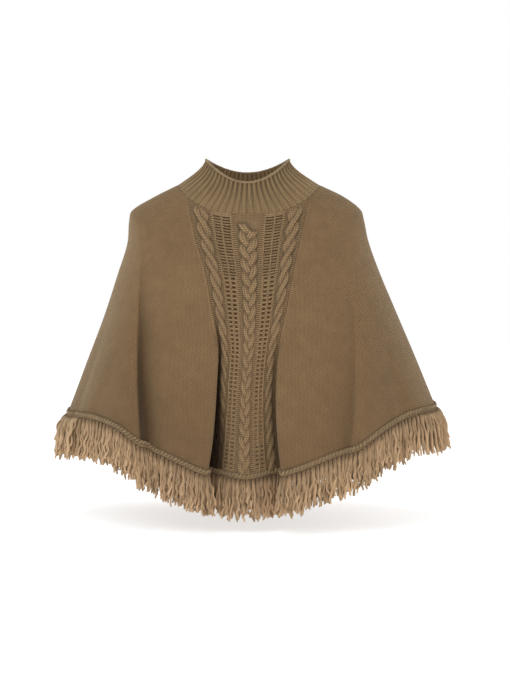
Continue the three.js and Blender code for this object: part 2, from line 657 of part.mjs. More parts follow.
// A comb of locks under one stretch of the lower edge: each lock grows from its own cell of the strip.
function fringe(from, to, seed) {
  const line = stretch(bandRings[1], from, to);
  const lengths = [0];
  for (let i = 1; i < line.length; i++)
    lengths.push(lengths[i - 1] + line[i].point.distanceTo(line[i - 1].point));
  const total = lengths.at(-1);
  const count = Math.round(total / LOCK_PITCH);
  const pitch = total / count;
  const at = (distance) => {
    let i = lengths.findIndex((length) => length > distance) - 1;
    if (i < 0) i = line.length - 2;
    const t = (distance - lengths[i]) / (lengths[i + 1] - lengths[i]);
    const [a, b] = [line[i], line[i + 1]];
    const normal = a.normal.clone().lerp(b.normal, t);
    return {
      point: a.point.clone().lerp(b.point, t),
      normal,
      outward: new THREE.Vector3(normal.x, normal.y, 0).normalize(),
    };
  };
  const drop = new THREE.Vector3(0, 0, -1);
  const ends = Array.from({ length: count + 1 }, (_, i) => at(i * pitch));
  const middleOff = BAND_PROUD - BAND_WALL / 2;
  const corners = ends.map((end) => {
    const faces = [1, -1].map((way) => moved(end, middleOff + (way * STRIP_WALL) / 2));
    const lowered = (distance) => faces.map((p) => p.clone().addScaledVector(drop, distance));
    return { top: lowered(STRIP_GAP), bottom: lowered(STRIP_GAP + STRIP_HEIGHT) };
  });
  const triangles = [];
  const quad = (a, b, c, d) => triangles.push([a, b, c], [a, c, d]);
  for (let i = 0; i < count; i++) {
    const [a, b] = [corners[i], corners[i + 1]];
    quad(a.top[0], b.top[0], b.bottom[0], a.bottom[0]);
    quad(b.top[1], a.top[1], a.bottom[1], b.bottom[1]);
    quad(a.top[1], b.top[1], b.top[0], a.top[0]);
    const middle = at((i + 0.5) * pitch);
    const chance = (k) => repeatable(seed + i * SEED_STEP + k);
    const length = lerp(LOCK_LENGTH.least, LOCK_LENGTH.most, chance(1));
    const along = b.top[0].clone().sub(a.top[0]).normalize();
    const root = moved(middle, middleOff).addScaledVector(drop, STRIP_GAP + STRIP_HEIGHT);
    const sway = (chance(2) - 0.5) * pitch * LOCK_SWAY;
    const bow = (1 + Math.sin(i * LOCK_SPRING.turn + seed)) / 2;
    const spring = lerp(LOCK_SPRING.least, LOCK_SPRING.most, bow);
    const lean = LOCK_LEAN * easeBetween(LOCK_LEAN_FROM, 1, Math.abs(middle.point.x) / HEM_HALF);
    const centreAt = (t) =>
      root
        .clone()
        .addScaledVector(drop, length * t)
        .addScaledVector(along, sway * t)
        .addScaledVector(middle.outward, lean * t + spring * Math.sin(Math.PI * t * LOCK_SPRING.reach));
    const [w, t] = [(pitch * LOCK.waistWidth) / 2, LOCK.waistThick / 2];
    const waist = [[-w, t], [w, t], [w, -t], [-w, -t]].map(([x, y]) =>
      centreAt(LOCK.waistAt).addScaledVector(along, x).addScaledVector(middle.outward, y),
    );
    const cell = [a.bottom[0], b.bottom[0], b.bottom[1], a.bottom[1]];
    for (let k = 0; k < 4; k++) quad(cell[k], cell[(k + 1) % 4], waist[(k + 1) % 4], waist[k]);
    const tip = [-1, 1].map((way) => centreAt(1).addScaledVector(along, (way * pitch * LOCK.endWidth) / 2));
    quad(waist[0], waist[1], tip[1], tip[0]);
    quad(waist[2], waist[3], tip[0], tip[1]);
    triangles.push([waist[1], waist[2], tip[1]], [waist[3], waist[0], tip[0]]);
  }
  const [first, last] = [corners[0], corners[count]];
  quad(first.top[1], first.top[0], first.bottom[0], first.bottom[1]);
  quad(last.top[0], last.top[1], last.bottom[1], last.bottom[0]);
  return geometryOf(triangles);
}

const BACK_MIDDLE = LEFT_SIDE + BACK_STEPS / 2;
const FRINGES = [
  { name: "fringe_front_right", from: 0, to: RIGHT_SEAM, seed: 11 },
  { name: "fringe_front_middle", from: RIGHT_SEAM, to: LEFT_SEAM, seed: 1013 },
  { name: "fringe_front_left", from: LEFT_SEAM, to: LEFT_SIDE, seed: 2027 },
  { name: "fringe_back_left", from: LEFT_SIDE, to: BACK_MIDDLE, seed: 3041 },
  { name: "fringe_back_right", from: BACK_MIDDLE, to: RING_COUNT, seed: 4057 },
];
const PIECES = [
  { name: "collar", material: RIB_YARN, make: collar },
  { name: "front_right", material: YARN, make: () => plainPanel(0, RIGHT_SEAM) },
  { name: "cable_panel", material: CABLE_YARN, make: cabledPanel },
  { name: "front_left", material: YARN, make: () => plainPanel(LEFT_SEAM, LEFT_SIDE) },
  { name: "back", material: YARN, make: () => plainPanel(LEFT_SIDE, RING_COUNT) },
  { name: "hem_band_front", material: CABLE_YARN, make: () => hemBand(0, LEFT_SIDE) },
  { name: "hem_band_back", material: CABLE_YARN, make: () => hemBand(LEFT_SIDE, RING_COUNT) },
  ...FRINGES.map(({ name, from, to, seed }) => ({
    name,
    material: FRINGE_YARN,
    make: () => fringe(from, to, seed),
  })),
];

const poncho = new THREE.Group();
for (const { name, material, make } of PIECES) {
  const mesh = new THREE.Mesh(make(), material);
  mesh.name = name;
  poncho.add(mesh);
}

export default poncho;
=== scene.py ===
"""Dresses a knitted poncho sweater: ribbed funnel collar, cabled front panel, plain panels and a yarn fringe.

Lengths are in millimetres until a mesh is made, and share is the place down the cloth, from the neckline (0)
to the lower edge (1). Left and right are as seen from the front.
"""

from __future__ import annotations

import logging
import math
from dataclasses import dataclass, field
from enum import Enum
from typing import ClassVar

import bpy
import numpy as np
from mathutils import Euler, Matrix, Vector

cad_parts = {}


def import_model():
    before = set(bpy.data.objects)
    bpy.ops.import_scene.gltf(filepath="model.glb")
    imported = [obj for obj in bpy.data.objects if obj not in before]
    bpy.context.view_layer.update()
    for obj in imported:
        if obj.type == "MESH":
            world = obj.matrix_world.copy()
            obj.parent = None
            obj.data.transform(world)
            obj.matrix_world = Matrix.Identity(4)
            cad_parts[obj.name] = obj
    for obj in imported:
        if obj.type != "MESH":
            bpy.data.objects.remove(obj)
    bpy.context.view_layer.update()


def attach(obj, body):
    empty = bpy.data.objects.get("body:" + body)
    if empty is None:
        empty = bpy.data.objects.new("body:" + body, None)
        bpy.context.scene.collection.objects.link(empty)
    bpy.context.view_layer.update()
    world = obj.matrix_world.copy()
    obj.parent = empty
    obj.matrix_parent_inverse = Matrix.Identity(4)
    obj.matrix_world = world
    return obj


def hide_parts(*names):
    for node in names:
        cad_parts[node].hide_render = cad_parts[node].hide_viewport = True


LOG = logging.getLogger("poncho")
MM = 0.001
BODY = "root"
SEED = 7
TINY = 1e-9
WHITE = (1.0, 1.0, 1.0)


class Side(Enum):
    """A half of the garment, as seen from the front."""

    LEFT = "left"
    RIGHT = "right"

    @property
    def sign(self) -> int:
        """The sign of x on this side."""
        return -1 if self is Side.LEFT else 1


class Face(Enum):
    """The front or the back of the garment."""

    FRONT = "front"
    BACK = "back"

    @property
    def sign(self) -> int:
        """The sign of y on this face."""
        return -1 if self is Face.FRONT else 1


def ease(low: float, high: float, value: np.ndarray) -> np.ndarray:
    """A soft step from 0 at low to 1 at high."""
    t = np.clip((value - low) / (high - low), 0.0, 1.0)
    return t * t * (3 - 2 * t)


def mix(a: np.ndarray, b: np.ndarray, t: np.ndarray) -> np.ndarray:
    """The value a share t of the way from a to b."""
    return a + (b - a) * t


def bell(distance: np.ndarray, width: np.ndarray | float) -> np.ndarray:
    """A smooth bump of height 1 at distance 0, which fades over that width."""
    return np.exp(-((distance / width) ** 2))


@dataclass(frozen=True)
class Table:
    """Named columns of numbers, read on a smooth curve through their rows."""

    at: tuple[float, ...]
    columns: dict[str, tuple[float, ...]]

    def value(self, column: str, at: np.ndarray) -> np.ndarray:
        """The value of a column.

        Args:
            column: The column's name.
            at: Places between the table's rows.

        Returns:
            The values there, with the shape of at.
        """
        places, values = np.array(self.at), np.array(self.columns[column], float)
        last = len(places) - 1
        before, after = np.maximum(np.arange(last + 1) - 1, 0), np.minimum(np.arange(last + 1) + 1, last)
        slopes = (values[after] - values[before]) / (places[after] - places[before])
        at = np.asarray(at, float)
        i = np.clip(np.searchsorted(places, at, side="right") - 1, 0, last - 1)
        span = places[i + 1] - places[i]
        t = (at - places[i]) / span
        return (
            (2 * t**3 - 3 * t**2 + 1) * values[i]
            + (t**3 - 2 * t**2 + t) * span * slopes[i]
            + (3 * t**2 - 2 * t**3) * values[i + 1]
            + (t**3 - t**2) * span * slopes[i + 1]
        )


@dataclass(frozen=True)
class Fold:
    """A soft fold that runs down the cloth.

    Neck and hem are the shares of the half-width where it runs at the neckline and at the lower edge. Height
    is outwards, and inner and outer are its widths towards the middle and towards the side.
    """

    side: Side
    neck: float
    hem: float
    starts: float
    height: float
    inner: float
    outer: float
    ends: float = 1.05
    shade: float = 0.0  # painted shade: how much darker its foot is made, where it folds crisply


@dataclass(frozen=True)
class Pleat:
    """The deep pleat where a plain panel turns back over the cabled one."""

    opens: float
    turned: float
    turn: float
    run: float
    fold_radius: float
    valley_radius: float


LEVELS = Table(
    at=(0.0, 0.1, 0.19, 0.24, 0.32, 0.44, 0.6, 0.8, 1.0),
    columns={
        "left": (124, 166, 203.5, 209, 212, 229, 253, 287, 321),
        "right": (130, 172, 201, 207, 215, 234, 264, 301, 337),
        "front": (80, 97, 115, 127, 142, 160, 176, 191, 205),
        "back": (84, 96, 105, 110, 116, 124, 136, 151, 168),
        "square": (2.0, 2.1, 2.2, 2.25, 2.3, 2.3, 2.3, 2.3, 2.3),
        "side_drop": (0.0, 0.052, 0.109, 0.154, 0.249, 0.383, 0.562, 0.78, 1.0),
    },
)
# Height of the lower edge, by share of the half-width from the middle
HEM_LINE = Table(
    at=(0.0, 0.15, 0.25, 0.35, 0.45, 0.53, 0.6, 0.66, 0.75, 0.87, 1.0),
    columns={
        "front_left": (-482, -476, -468, -455, -443, -434, -413, -399, -389, -384, -391),
        "front_right": (-482, -476, -467, -455, -444, -436, -421, -408, -392, -379, -379),
        "back_left": (-478, -473, -466, -457, -446, -437, -429, -421, -410, -398, -391),
        "back_right": (-478, -473, -465, -455, -443, -433, -424, -416, -403, -388, -379),
    },
)
PANEL_EDGES = Table(
    at=(0.0, 0.12, 0.24, 0.37, 0.5, 0.68, 0.86, 1.0),
    columns={
        "left": (103, 89, 71, 59, 49, 51, 57, 66),
        "right": (107, 93, 80, 68, 55, 49, 52, 59),
    },
)
PLEATS = {
    Side.LEFT: Pleat(opens=0.41, turned=0.54, turn=112, run=38, fold_radius=5, valley_radius=6),
    Side.RIGHT: Pleat(opens=0.43, turned=0.57, turn=104, run=34, fold_radius=5, valley_radius=6),
}
MAIN_FOLDS = {
    Face.FRONT: (
        Fold(Side.LEFT, neck=1.01, hem=0.615, starts=0.2, height=12, inner=0.05, outer=0.15),
        Fold(Side.LEFT, neck=0.99, hem=0.542, starts=0.3, height=-19, inner=0.16, outer=0.012, shade=0.85),
        Fold(Side.LEFT, neck=0.96, hem=0.95, starts=0.4, height=-5, inner=0.03, outer=0.03),
        Fold(Side.RIGHT, neck=1.0, hem=0.575, starts=0.22, height=9, inner=0.04, outer=0.12),
        Fold(Side.RIGHT, neck=0.95, hem=0.507, starts=0.42, height=-9, inner=0.12, outer=0.016, shade=0.24),
    ),
    Face.BACK: (
        Fold(Side.LEFT, neck=1.0, hem=0.76, starts=0.22, height=10, inner=0.1, outer=0.1),
        Fold(Side.LEFT, neck=0.8, hem=0.52, starts=0.38, height=-11, inner=0.12, outer=0.05, shade=0.6),
        Fold(Side.LEFT, neck=0.2, hem=0.22, starts=0.5, height=9, inner=0.12, outer=0.14),
        Fold(Side.RIGHT, neck=0.1, hem=0.07, starts=0.5, height=-8, inner=0.1, outer=0.12),
        Fold(Side.RIGHT, neck=0.7, hem=0.42, starts=0.36, height=11, inner=0.12, outer=0.1),
        Fold(Side.RIGHT, neck=0.98, hem=0.7, starts=0.26, height=-9, inner=0.1, outer=0.04, shade=0.55),
    ),
}
# Small creases that the solids leave out
CREASES = {
    Face.FRONT: (
        Fold(Side.LEFT, neck=0.93, hem=0.44, starts=0.12, height=1.6, inner=0.05, outer=0.06),
        Fold(Side.LEFT, neck=0.8, hem=0.86, starts=0.55, height=2.4, inner=0.03, outer=0.04),
        Fold(Side.RIGHT, neck=0.9, hem=0.4, starts=0.15, height=-1.4, inner=0.05, outer=0.05),
        Fold(Side.RIGHT, neck=0.86, hem=0.82, starts=0.5, height=-3.0, inner=0.05, outer=0.03),
    ),
    Face.BACK: (
        Fold(Side.LEFT, neck=0.5, hem=0.36, starts=0.3, height=-2.2, inner=0.04, outer=0.06),
        Fold(Side.LEFT, neck=0.9, hem=0.9, starts=0.45, height=-3.0, inner=0.03, outer=0.04),
        Fold(Side.RIGHT, neck=0.3, hem=0.24, starts=0.4, height=2.4, inner=0.05, outer=0.04),
        Fold(Side.RIGHT, neck=0.9, hem=0.88, starts=0.5, height=2.8, inner=0.04, outer=0.04),
    ),
}


@dataclass(frozen=True)
class Form:
    """The surface that every piece of cloth lies on."""

    length: float = 454.0
    neck_side: float = 16.0
    neck: dict[Face, float] = field(default_factory=lambda: {Face.FRONT: -32.0, Face.BACK: -8.0})
    neck_curve: float = 3.0
    shoulder_reach: float = 2.5
    least_run: float = 2.0
    least_fold_radius: float = 2.6
    least_valley_radius: float = 1.6
    least_step: float = 0.3
    middle_recess: float = 0.45
    seam_fade: float = 2.5  # folds die out towards the side seam at this rate
    foot_width: float = 0.06  # of the painted shade at a crisp fold's foot, as a share of the half-width
    foot_power: float = 1.3
    foot_edge: tuple[float, float] = (0.02, 0.012)
    shade_lead: float = 0.1
    full_shade_at: float = 0.85
    nudge: float = 0.01  # a small turn, from which the cloth's direction is worked out
    fine_columns: int = 400
    fine_back_columns: int = 300
    seam_columns: int = 3
    seam_steps: tuple[int, int, int] = (4, 2, 3)

    def height(self, face: Face, side: Side, out: np.ndarray, share: np.ndarray) -> np.ndarray:
        """Height of the cloth.

        Args:
            face: Front or back.
            side: Left or right.
            out: Place across, as a share of the half-width.
            share: Place down.

        Returns:
            z in millimetres.
        """
        neck = mix(self.neck[face], self.neck_side, out**self.neck_curve)
        hem = HEM_LINE.value(f"{face.value}_{side.value}", out)
        drop = mix(share, LEVELS.value("side_drop", share), out**self.shoulder_reach)
        return mix(neck, hem, drop)

    def fold_height(self, face: Face, side: Side, out: np.ndarray, share: np.ndarray) -> np.ndarray:
        """How far the folds push the cloth outwards.

        Args:
            face: Front or back.
            side: Left or right.
            out: Place across, as a share of the half-width.
            share: Place down.

        Returns:
            The distance in millimetres.
        """
        total = np.zeros(np.broadcast(out, share).shape)
        for fold in MAIN_FOLDS[face] + CREASES[face]:
            away = (out if fold.side is side else -out) - mix(fold.neck, fold.hem, share)
            width = np.where(away < 0, fold.inner, fold.outer)
            total += fold.height * ease(fold.starts, fold.ends, share) * bell(away, width)
        return total

    def fold_shade(self, face: Face, side: Side, points: np.ndarray, share: np.ndarray) -> np.ndarray:
        """Painted shade at the foot of a quarter's crisp folds, as the share of light left there.

        Args:
            face: Front or back.
            side: Left or right.
            points: The cloth's points, by row and column.
            share: One place down for each row.

        Returns:
            The painted light at every point, from 0 to 1.
        """
        half = LEVELS.value(side.value, share)[:, None]
        out, down = np.abs(points[..., 0]) / half, share[:, None]
        light = np.ones(out.shape)
        for fold in MAIN_FOLDS[face]:
            if fold.side is side and fold.shade > 0:
                away = out - mix(fold.neck, fold.hem, down)
                fading = np.exp(-np.abs(away / self.foot_width) ** self.foot_power)
                foot = np.where(away < 0, fading, ease(*self.foot_edge, away))
                light -= fold.shade * ease(fold.starts - self.shade_lead, self.full_shade_at, down) * foot
        return light

    def quarter(self, face: Face, side: Side, angle: np.ndarray, share: np.ndarray) -> np.ndarray:
        """Points of one quarter of the body.

        Args:
            face: Front or back.
            side: Left or right.
            angle: 0 at the side seam and a quarter turn in the middle.
            share: Place down, of a shape that goes with angle.

        Returns:
            Points with x, y and z on the last axis.
        """
        half, depth = LEVELS.value(side.value, share), LEVELS.value(face.value, share)
        power = 2 / LEVELS.value("square", share)
        out = np.maximum(0.0, np.cos(angle)) ** power
        deep = np.maximum(0.0, np.sin(angle)) ** power
        push = self.fold_height(face, side, out, share) * np.clip(deep * self.seam_fade, 0, 1)
        normal_x, normal_y = out / half, deep / depth
        long = np.hypot(normal_x, normal_y)
        x = side.sign * (half * out + push * normal_x / long)
        y = face.sign * (depth * deep + push * normal_y / long)
        return np.stack(np.broadcast_arrays(x, y, self.height(face, side, out, share)), axis=-1)

    def angle_at(self, out: np.ndarray, share: np.ndarray) -> np.ndarray:
        """The angle of the point of a quarter that lies at a share of the half-width."""
        return np.arccos(np.clip(out, 0, 1) ** (LEVELS.value("square", share) / 2))

    def pleat(self, side: Side, share: np.ndarray, steps: tuple[int, int, int]) -> np.ndarray:
        """A pleat's places.

        Args:
            side: Left or right.
            share: One place down for each row.
            steps: Numbers of steps round the fold, along the run and round the valley.

        Returns:
            For each row and step, the distance along the body's line and straight in from it.
        """
        shape = PLEATS[side]
        turn = np.radians(shape.turn) * ease(shape.opens, shape.turned, share)[:, None]
        opened = np.clip((share - shape.opens) / (1 - shape.opens), 0, 1)[:, None]
        run = mix(self.least_run, shape.run, opened)
        fold_radius = mix(self.least_fold_radius, shape.fold_radius, opened)
        valley_radius = mix(self.least_valley_radius, shape.valley_radius, opened)
        fold, straight, valley = (np.arange(1, n + 1) / n for n in steps)
        a = turn * fold
        coarse = 4 * self.least_step
        along = [fold_radius * np.sin(a) + fold * coarse]
        deep = [fold_radius * (1 - np.cos(a))]
        along.append(along[0][:, -1:] + run * straight * np.cos(turn))
        deep.append(deep[0][:, -1:] + run * straight * np.sin(turn))
        a = turn * (1 - valley)
        tail = 3 * self.least_step
        along.append(along[1][:, -1:] + valley_radius * (np.sin(turn) - np.sin(a)) + valley * tail)
        deep.append(deep[1][:, -1:] + valley_radius * (np.cos(a) - np.cos(turn)))
        return np.stack([np.concatenate(along, axis=1), np.concatenate(deep, axis=1)], axis=-1)

    def plain_front(self, side: Side, share: np.ndarray, columns: int, steps: tuple[int, int, int]) -> Grid:
        """The plain front panel of a side, from its side seam to the valley of its pleat.

        Args:
            side: Left or right.
            share: One place down for each row.
            columns: Number of columns on the part that shows.
            steps: The pleat's steps, as pleat takes them.

        Returns:
            The grid of points, with the cloth's own coordinates.
        """
        half = LEVELS.value(side.value, share)
        places = self.pleat(side, share, steps)
        edge = PANEL_EDGES.value(side.value, share)
        fold_angle = self.angle_at((edge + places[..., 0].max(axis=1)) / half, share)
        turns = fold_angle[:, None] * np.linspace(0, 1, self.fine_columns)
        open_part = even_columns(self.quarter(Face.FRONT, side, turns, share[:, None]), columns)
        near = self.nudge
        ahead = self.quarter(Face.FRONT, side, fold_angle + near, share)
        behind = self.quarter(Face.FRONT, side, fold_angle - near, share)
        pace = np.linalg.norm(ahead - behind, axis=-1)[:, None] / (2 * near)
        angle = fold_angle[:, None] + places[..., 0] / pace
        point = self.quarter(Face.FRONT, side, angle, share[:, None])
        inward = self.quarter(Face.FRONT, side, angle + near, share[:, None]) - point
        inward /= np.hypot(inward[..., 0], inward[..., 1])[..., None]
        point[..., 0] += side.sign * inward[..., 1] * places[..., 1]
        point[..., 1] += np.abs(inward[..., 0]) * places[..., 1]
        out = np.abs(point[..., 0]) / half[:, None]
        point[..., 2] = self.height(Face.FRONT, side, out, share[:, None])
        points = np.concatenate([open_part, point], axis=1)

        # The wales hang straight down: the cloth's own coordinate is counted from the fold's place across.
        lengths = arc_lengths(points)
        fold_column = open_part.shape[1] - 1
        at_fold = np.abs(points[:, fold_column, :1])
        u = at_fold + lengths[:, fold_column : fold_column + 1] - lengths
        v = np.broadcast_to(share[:, None] * self.length, u.shape)
        return Grid(points, np.stack([side.sign * u, v], axis=-1))

    def seam(self, side: Side, share: np.ndarray) -> np.ndarray:
        """The line where a plain panel meets the cabled one."""
        return self.plain_front(side, share, self.seam_columns, self.seam_steps).points[:, -1]

    def panel(self, across: np.ndarray, share: np.ndarray) -> np.ndarray:
        """Points of the cabled panel between its seams.

        Args:
            across: Places from the left seam (-1) to the right one (1).
            share: One place down for each row.

        Returns:
            Points by row and column.
        """
        seams = {side: self.seam(side, share) for side in Side}
        left, right = seams[Side.LEFT], seams[Side.RIGHT]
        x = mix(left[:, :1], right[:, :1], (across[None, :] + 1) / 2)

        def surface(at: np.ndarray, half: np.ndarray) -> np.ndarray:
            """The body's unfolded line.

            Args:
                at: Places across, in millimetres.
                half: The half-width on each row.

            Returns:
                y there.
            """
            square = LEVELS.value("square", share)[:, None]
            depth = LEVELS.value("front", share)[:, None]
            return -depth * (1 - np.clip(np.abs(at / half[:, None]), 0, 1) ** square) ** (1 / square)

        halves = {side: LEVELS.value(side.value, share) for side in Side}
        depths = {side: seams[side][:, 1:2] - surface(seams[side][:, :1], halves[side]) for side in Side}
        middle = self.middle_recess * (depths[Side.LEFT] + depths[Side.RIGHT]) / 2
        is_left = across[None, :] < 0
        half = np.where(is_left, halves[Side.LEFT][:, None], halves[Side.RIGHT][:, None])
        depth = np.where(is_left, depths[Side.LEFT], depths[Side.RIGHT])
        base = np.where(is_left, surface(x, halves[Side.LEFT]), surface(x, halves[Side.RIGHT]))
        y = base + mix(middle, depth, np.sin(np.pi / 2 * np.abs(across[None, :])) ** 2)
        out = np.abs(x) / half
        left_z = self.height(Face.FRONT, Side.LEFT, out, share[:, None])
        z = np.where(is_left, left_z, self.height(Face.FRONT, Side.RIGHT, out, share[:, None]))
        return np.stack([x, y, z], axis=-1)

    def back(self, share: np.ndarray, columns: int) -> np.ndarray:
        """Points of the back.

        Args:
            share: One place down for each row.
            columns: Number of columns from the left side seam to the right one.

        Returns:
            Points by row and column.
        """
        angles = np.linspace(0, np.pi / 2, self.fine_back_columns)[None, :]
        left = self.quarter(Face.BACK, Side.LEFT, angles, share[:, None])
        right = self.quarter(Face.BACK, Side.RIGHT, angles, share[:, None])[:, ::-1]
        return even_columns(np.concatenate([left, right[:, 1:]], axis=1), columns)


@dataclass
class Grid:
    """Rows and columns of points, with the cloth's own coordinates in millimetres."""

    points: np.ndarray
    cloth: np.ndarray

    def flipped(self) -> Grid:
        """The same grid with its columns in the opposite order."""
        return Grid(self.points[:, ::-1], self.cloth[:, ::-1])

    def normals(self, closed: bool = False) -> np.ndarray:
        """The outward direction of the cloth.

        Args:
            closed: Whether the last column meets the first.

        Returns:
            A unit vector for every point.
        """
        if closed:
            along = np.roll(self.points, -1, axis=1) - np.roll(self.points, 1, axis=1)
        else:
            along = np.gradient(self.points, axis=1)
        down = np.gradient(self.points, axis=0)
        normal = np.cross(along, down)
        return normal / np.maximum(np.linalg.norm(normal, axis=-1, keepdims=True), TINY)


def arc_lengths(points: np.ndarray) -> np.ndarray:
    """The distance along every row from its first point."""
    steps = np.linalg.norm(np.diff(points, axis=1), axis=-1)
    return np.concatenate([np.zeros((len(points), 1)), np.cumsum(steps, axis=1)], axis=1)


def even_columns(points: np.ndarray, columns: int) -> np.ndarray:
    """Spaces out the points of every row.

    Args:
        points: Points by row and column.
        columns: Number of points wanted on each row.

    Returns:
        The same rows, with points at even distances.
    """
    lengths = arc_lengths(points)
    rows = []
    for row, length in zip(points, lengths):
        at = np.linspace(0, length[-1], columns)
        rows.append(np.stack([np.interp(at, length, row[:, k]) for k in range(3)], axis=-1))
    return np.array(rows)


def mesh_object(
    name: str,
    vertices: np.ndarray,
    faces: np.ndarray | list,
    material: bpy.types.Material,
    uv: np.ndarray,
    marks: dict[str, np.ndarray] | None = None,
) -> bpy.types.Object:
    """Makes a smooth-shaded mesh object at the origin.

    Args:
        name: The piece's name.
        vertices: Points in millimetres.
        faces: Vertex numbers of every face.
        material: Its finish.
        uv: The cloth's coordinates of every vertex, in millimetres.
        marks: Values of every vertex for the finish to read, by name. The mark of painted light and shade is
            1 where none is given.

    Returns:
        The new object, linked to the scene.
    """
    mesh = bpy.data.meshes.new(name)
    faces = faces.tolist() if isinstance(faces, np.ndarray) else faces
    mesh.from_pydata((np.asarray(vertices) * MM).tolist(), [], faces)
    mesh.polygons.foreach_set("use_smooth", np.ones(len(mesh.polygons), bool))
    corners = np.empty(len(mesh.loops), int)
    mesh.loops.foreach_get("vertex_index", corners)
    layer = mesh.uv_layers.new(name="cloth")
    layer.data.foreach_set("uv", (uv[corners] * MM).astype(np.float32).ravel())
    for key, values in ({"tone": np.ones(len(vertices))} | (marks or {})).items():
        attribute = mesh.attributes.new(key, "FLOAT", "POINT")
        attribute.data.foreach_set("value", values.astype(np.float32))
    mesh.materials.append(material)
    mesh.update()
    piece = bpy.data.objects.new(name, mesh)
    bpy.context.scene.collection.objects.link(piece)
    return piece


@dataclass
class Shell:
    """A closed thin wall between an outer grid and the same grid moved inwards."""

    name: str
    grid: Grid
    relief: np.ndarray
    thickness: float
    keep: np.ndarray | None = None
    closed: bool = False
    inner_follows: bool = False
    marks: dict[str, np.ndarray] = field(default_factory=dict)
    inner_painted_light: float = 1.0  # painted light: how much lighter the inner side is made

    def build(self, material: bpy.types.Material) -> bpy.types.Object:
        """Builds the wall.

        Args:
            material: Its finish.

        Returns:
            The new object.
        """
        normals = self.grid.normals(self.closed)
        relief = self.relief[..., None]
        outer = self.grid.points + normals * relief
        inside = relief - self.thickness if self.inner_follows else -self.thickness
        inner = self.grid.points + normals * inside
        rows, columns = outer.shape[:2]
        cells = columns if self.closed else columns - 1
        keep = np.ones((rows - 1, cells), bool) if self.keep is None else self.keep
        r, c = np.nonzero(keep)
        after = (c + 1) % columns
        a, b = r * columns + c, r * columns + after
        d, e = (r + 1) * columns + after, (r + 1) * columns + c
        under = rows * columns
        faces = [np.stack([a, b, d, e], axis=1), np.stack([a, e, d, b], axis=1) + under]

        def missing(row_step: int, column_step: int) -> np.ndarray:
            """Finds the edges of the cloth.

            Args:
                row_step: How many rows away the neighbour is.
                column_step: How many columns away it is.

            Returns:
                Whether each kept cell has no neighbour there.
            """
            row, column = r + row_step, c + column_step
            if self.closed:
                column = column % cells
            outside = (row < 0) | (row >= rows - 1) | (column < 0) | (column >= cells)
            return outside | ~keep[np.clip(row, 0, rows - 2), np.clip(column, 0, cells - 1)]

        for first, second, bare in (
            (b, a, missing(-1, 0)),
            (d, b, missing(0, 1)),
            (e, d, missing(1, 0)),
            (a, e, missing(0, -1)),
        ):
            p, q = first[bare], second[bare]
            faces.append(np.stack([p, q, q + under, p + under], axis=1))
        faces = np.concatenate(faces)
        vertices = np.concatenate([outer.reshape(-1, 3), inner.reshape(-1, 3)])
        uv = np.concatenate([self.grid.cloth.reshape(-1, 2)] * 2)
        used, faces = np.unique(faces, return_inverse=True)
        marks = {}
        for key, value in self.marks.items():
            outer = np.broadcast_to(value, (rows, columns)).ravel()
            inner = outer * self.inner_painted_light if key == "tone" else outer
            marks[key] = np.concatenate([outer, inner])[used]
        return mesh_object(self.name, vertices[used], faces.reshape(-1, 4), material, uv[used], marks)

    def flat_size(self) -> tuple[float, float]:
        """The width and length that the cloth was cut to, in metres."""
        p = self.grid.points
        if self.closed:
            p = np.concatenate([p, p[:, :1]], axis=1)
        width = arc_lengths(p)[:, -1].max()
        length = arc_lengths(p.transpose(1, 0, 2))[:, -1].max()
        return (float(width * MM), float(length * MM))


def blur(values: np.ndarray, rows: int, columns: int) -> np.ndarray:
    """Evens out values.

    Args:
        values: Values by row and column.
        rows: How many neighbours count to each side, down.
        columns: How many count to each side, across.

    Returns:
        The mean round every value.
    """
    for axis, reach in ((0, rows), (1, columns)):
        padded = np.pad(values, [(reach, reach) if k == axis else (0, 0) for k in range(2)], mode="edge")
        parts = [np.take(padded, range(i, i + values.shape[axis]), axis=axis) for i in range(2 * reach + 1)]
        values = np.mean(parts, axis=0)
    return values


def linear(hex_colour: str) -> tuple[float, float, float, float]:
    """The linear colour of an sRGB hex value."""
    parts = [int(hex_colour[i : i + 2], 16) / 255 for i in (1, 3, 5)]
    return (*(p / 12.92 if p <= 0.04045 else ((p + 0.055) / 1.055) ** 2.4 for p in parts), 1.0)


def add_node(
    tree: bpy.types.NodeTree, kind: str, inputs: dict | None = None, **settings: object
) -> bpy.types.Node:
    """Adds a node with its settings and links.

    Args:
        tree: The node tree.
        kind: The node's type name.
        inputs: Values or sockets by input name or number.
        settings: The node's own properties.

    Returns:
        The new node.
    """
    node = tree.nodes.new(kind)
    for key, value in settings.items():
        setattr(node, key, value)
    for key, value in (inputs or {}).items():
        if isinstance(value, bpy.types.NodeSocket):
            tree.links.new(value, node.inputs[key])
        else:
            node.inputs[key].default_value = value
    return node


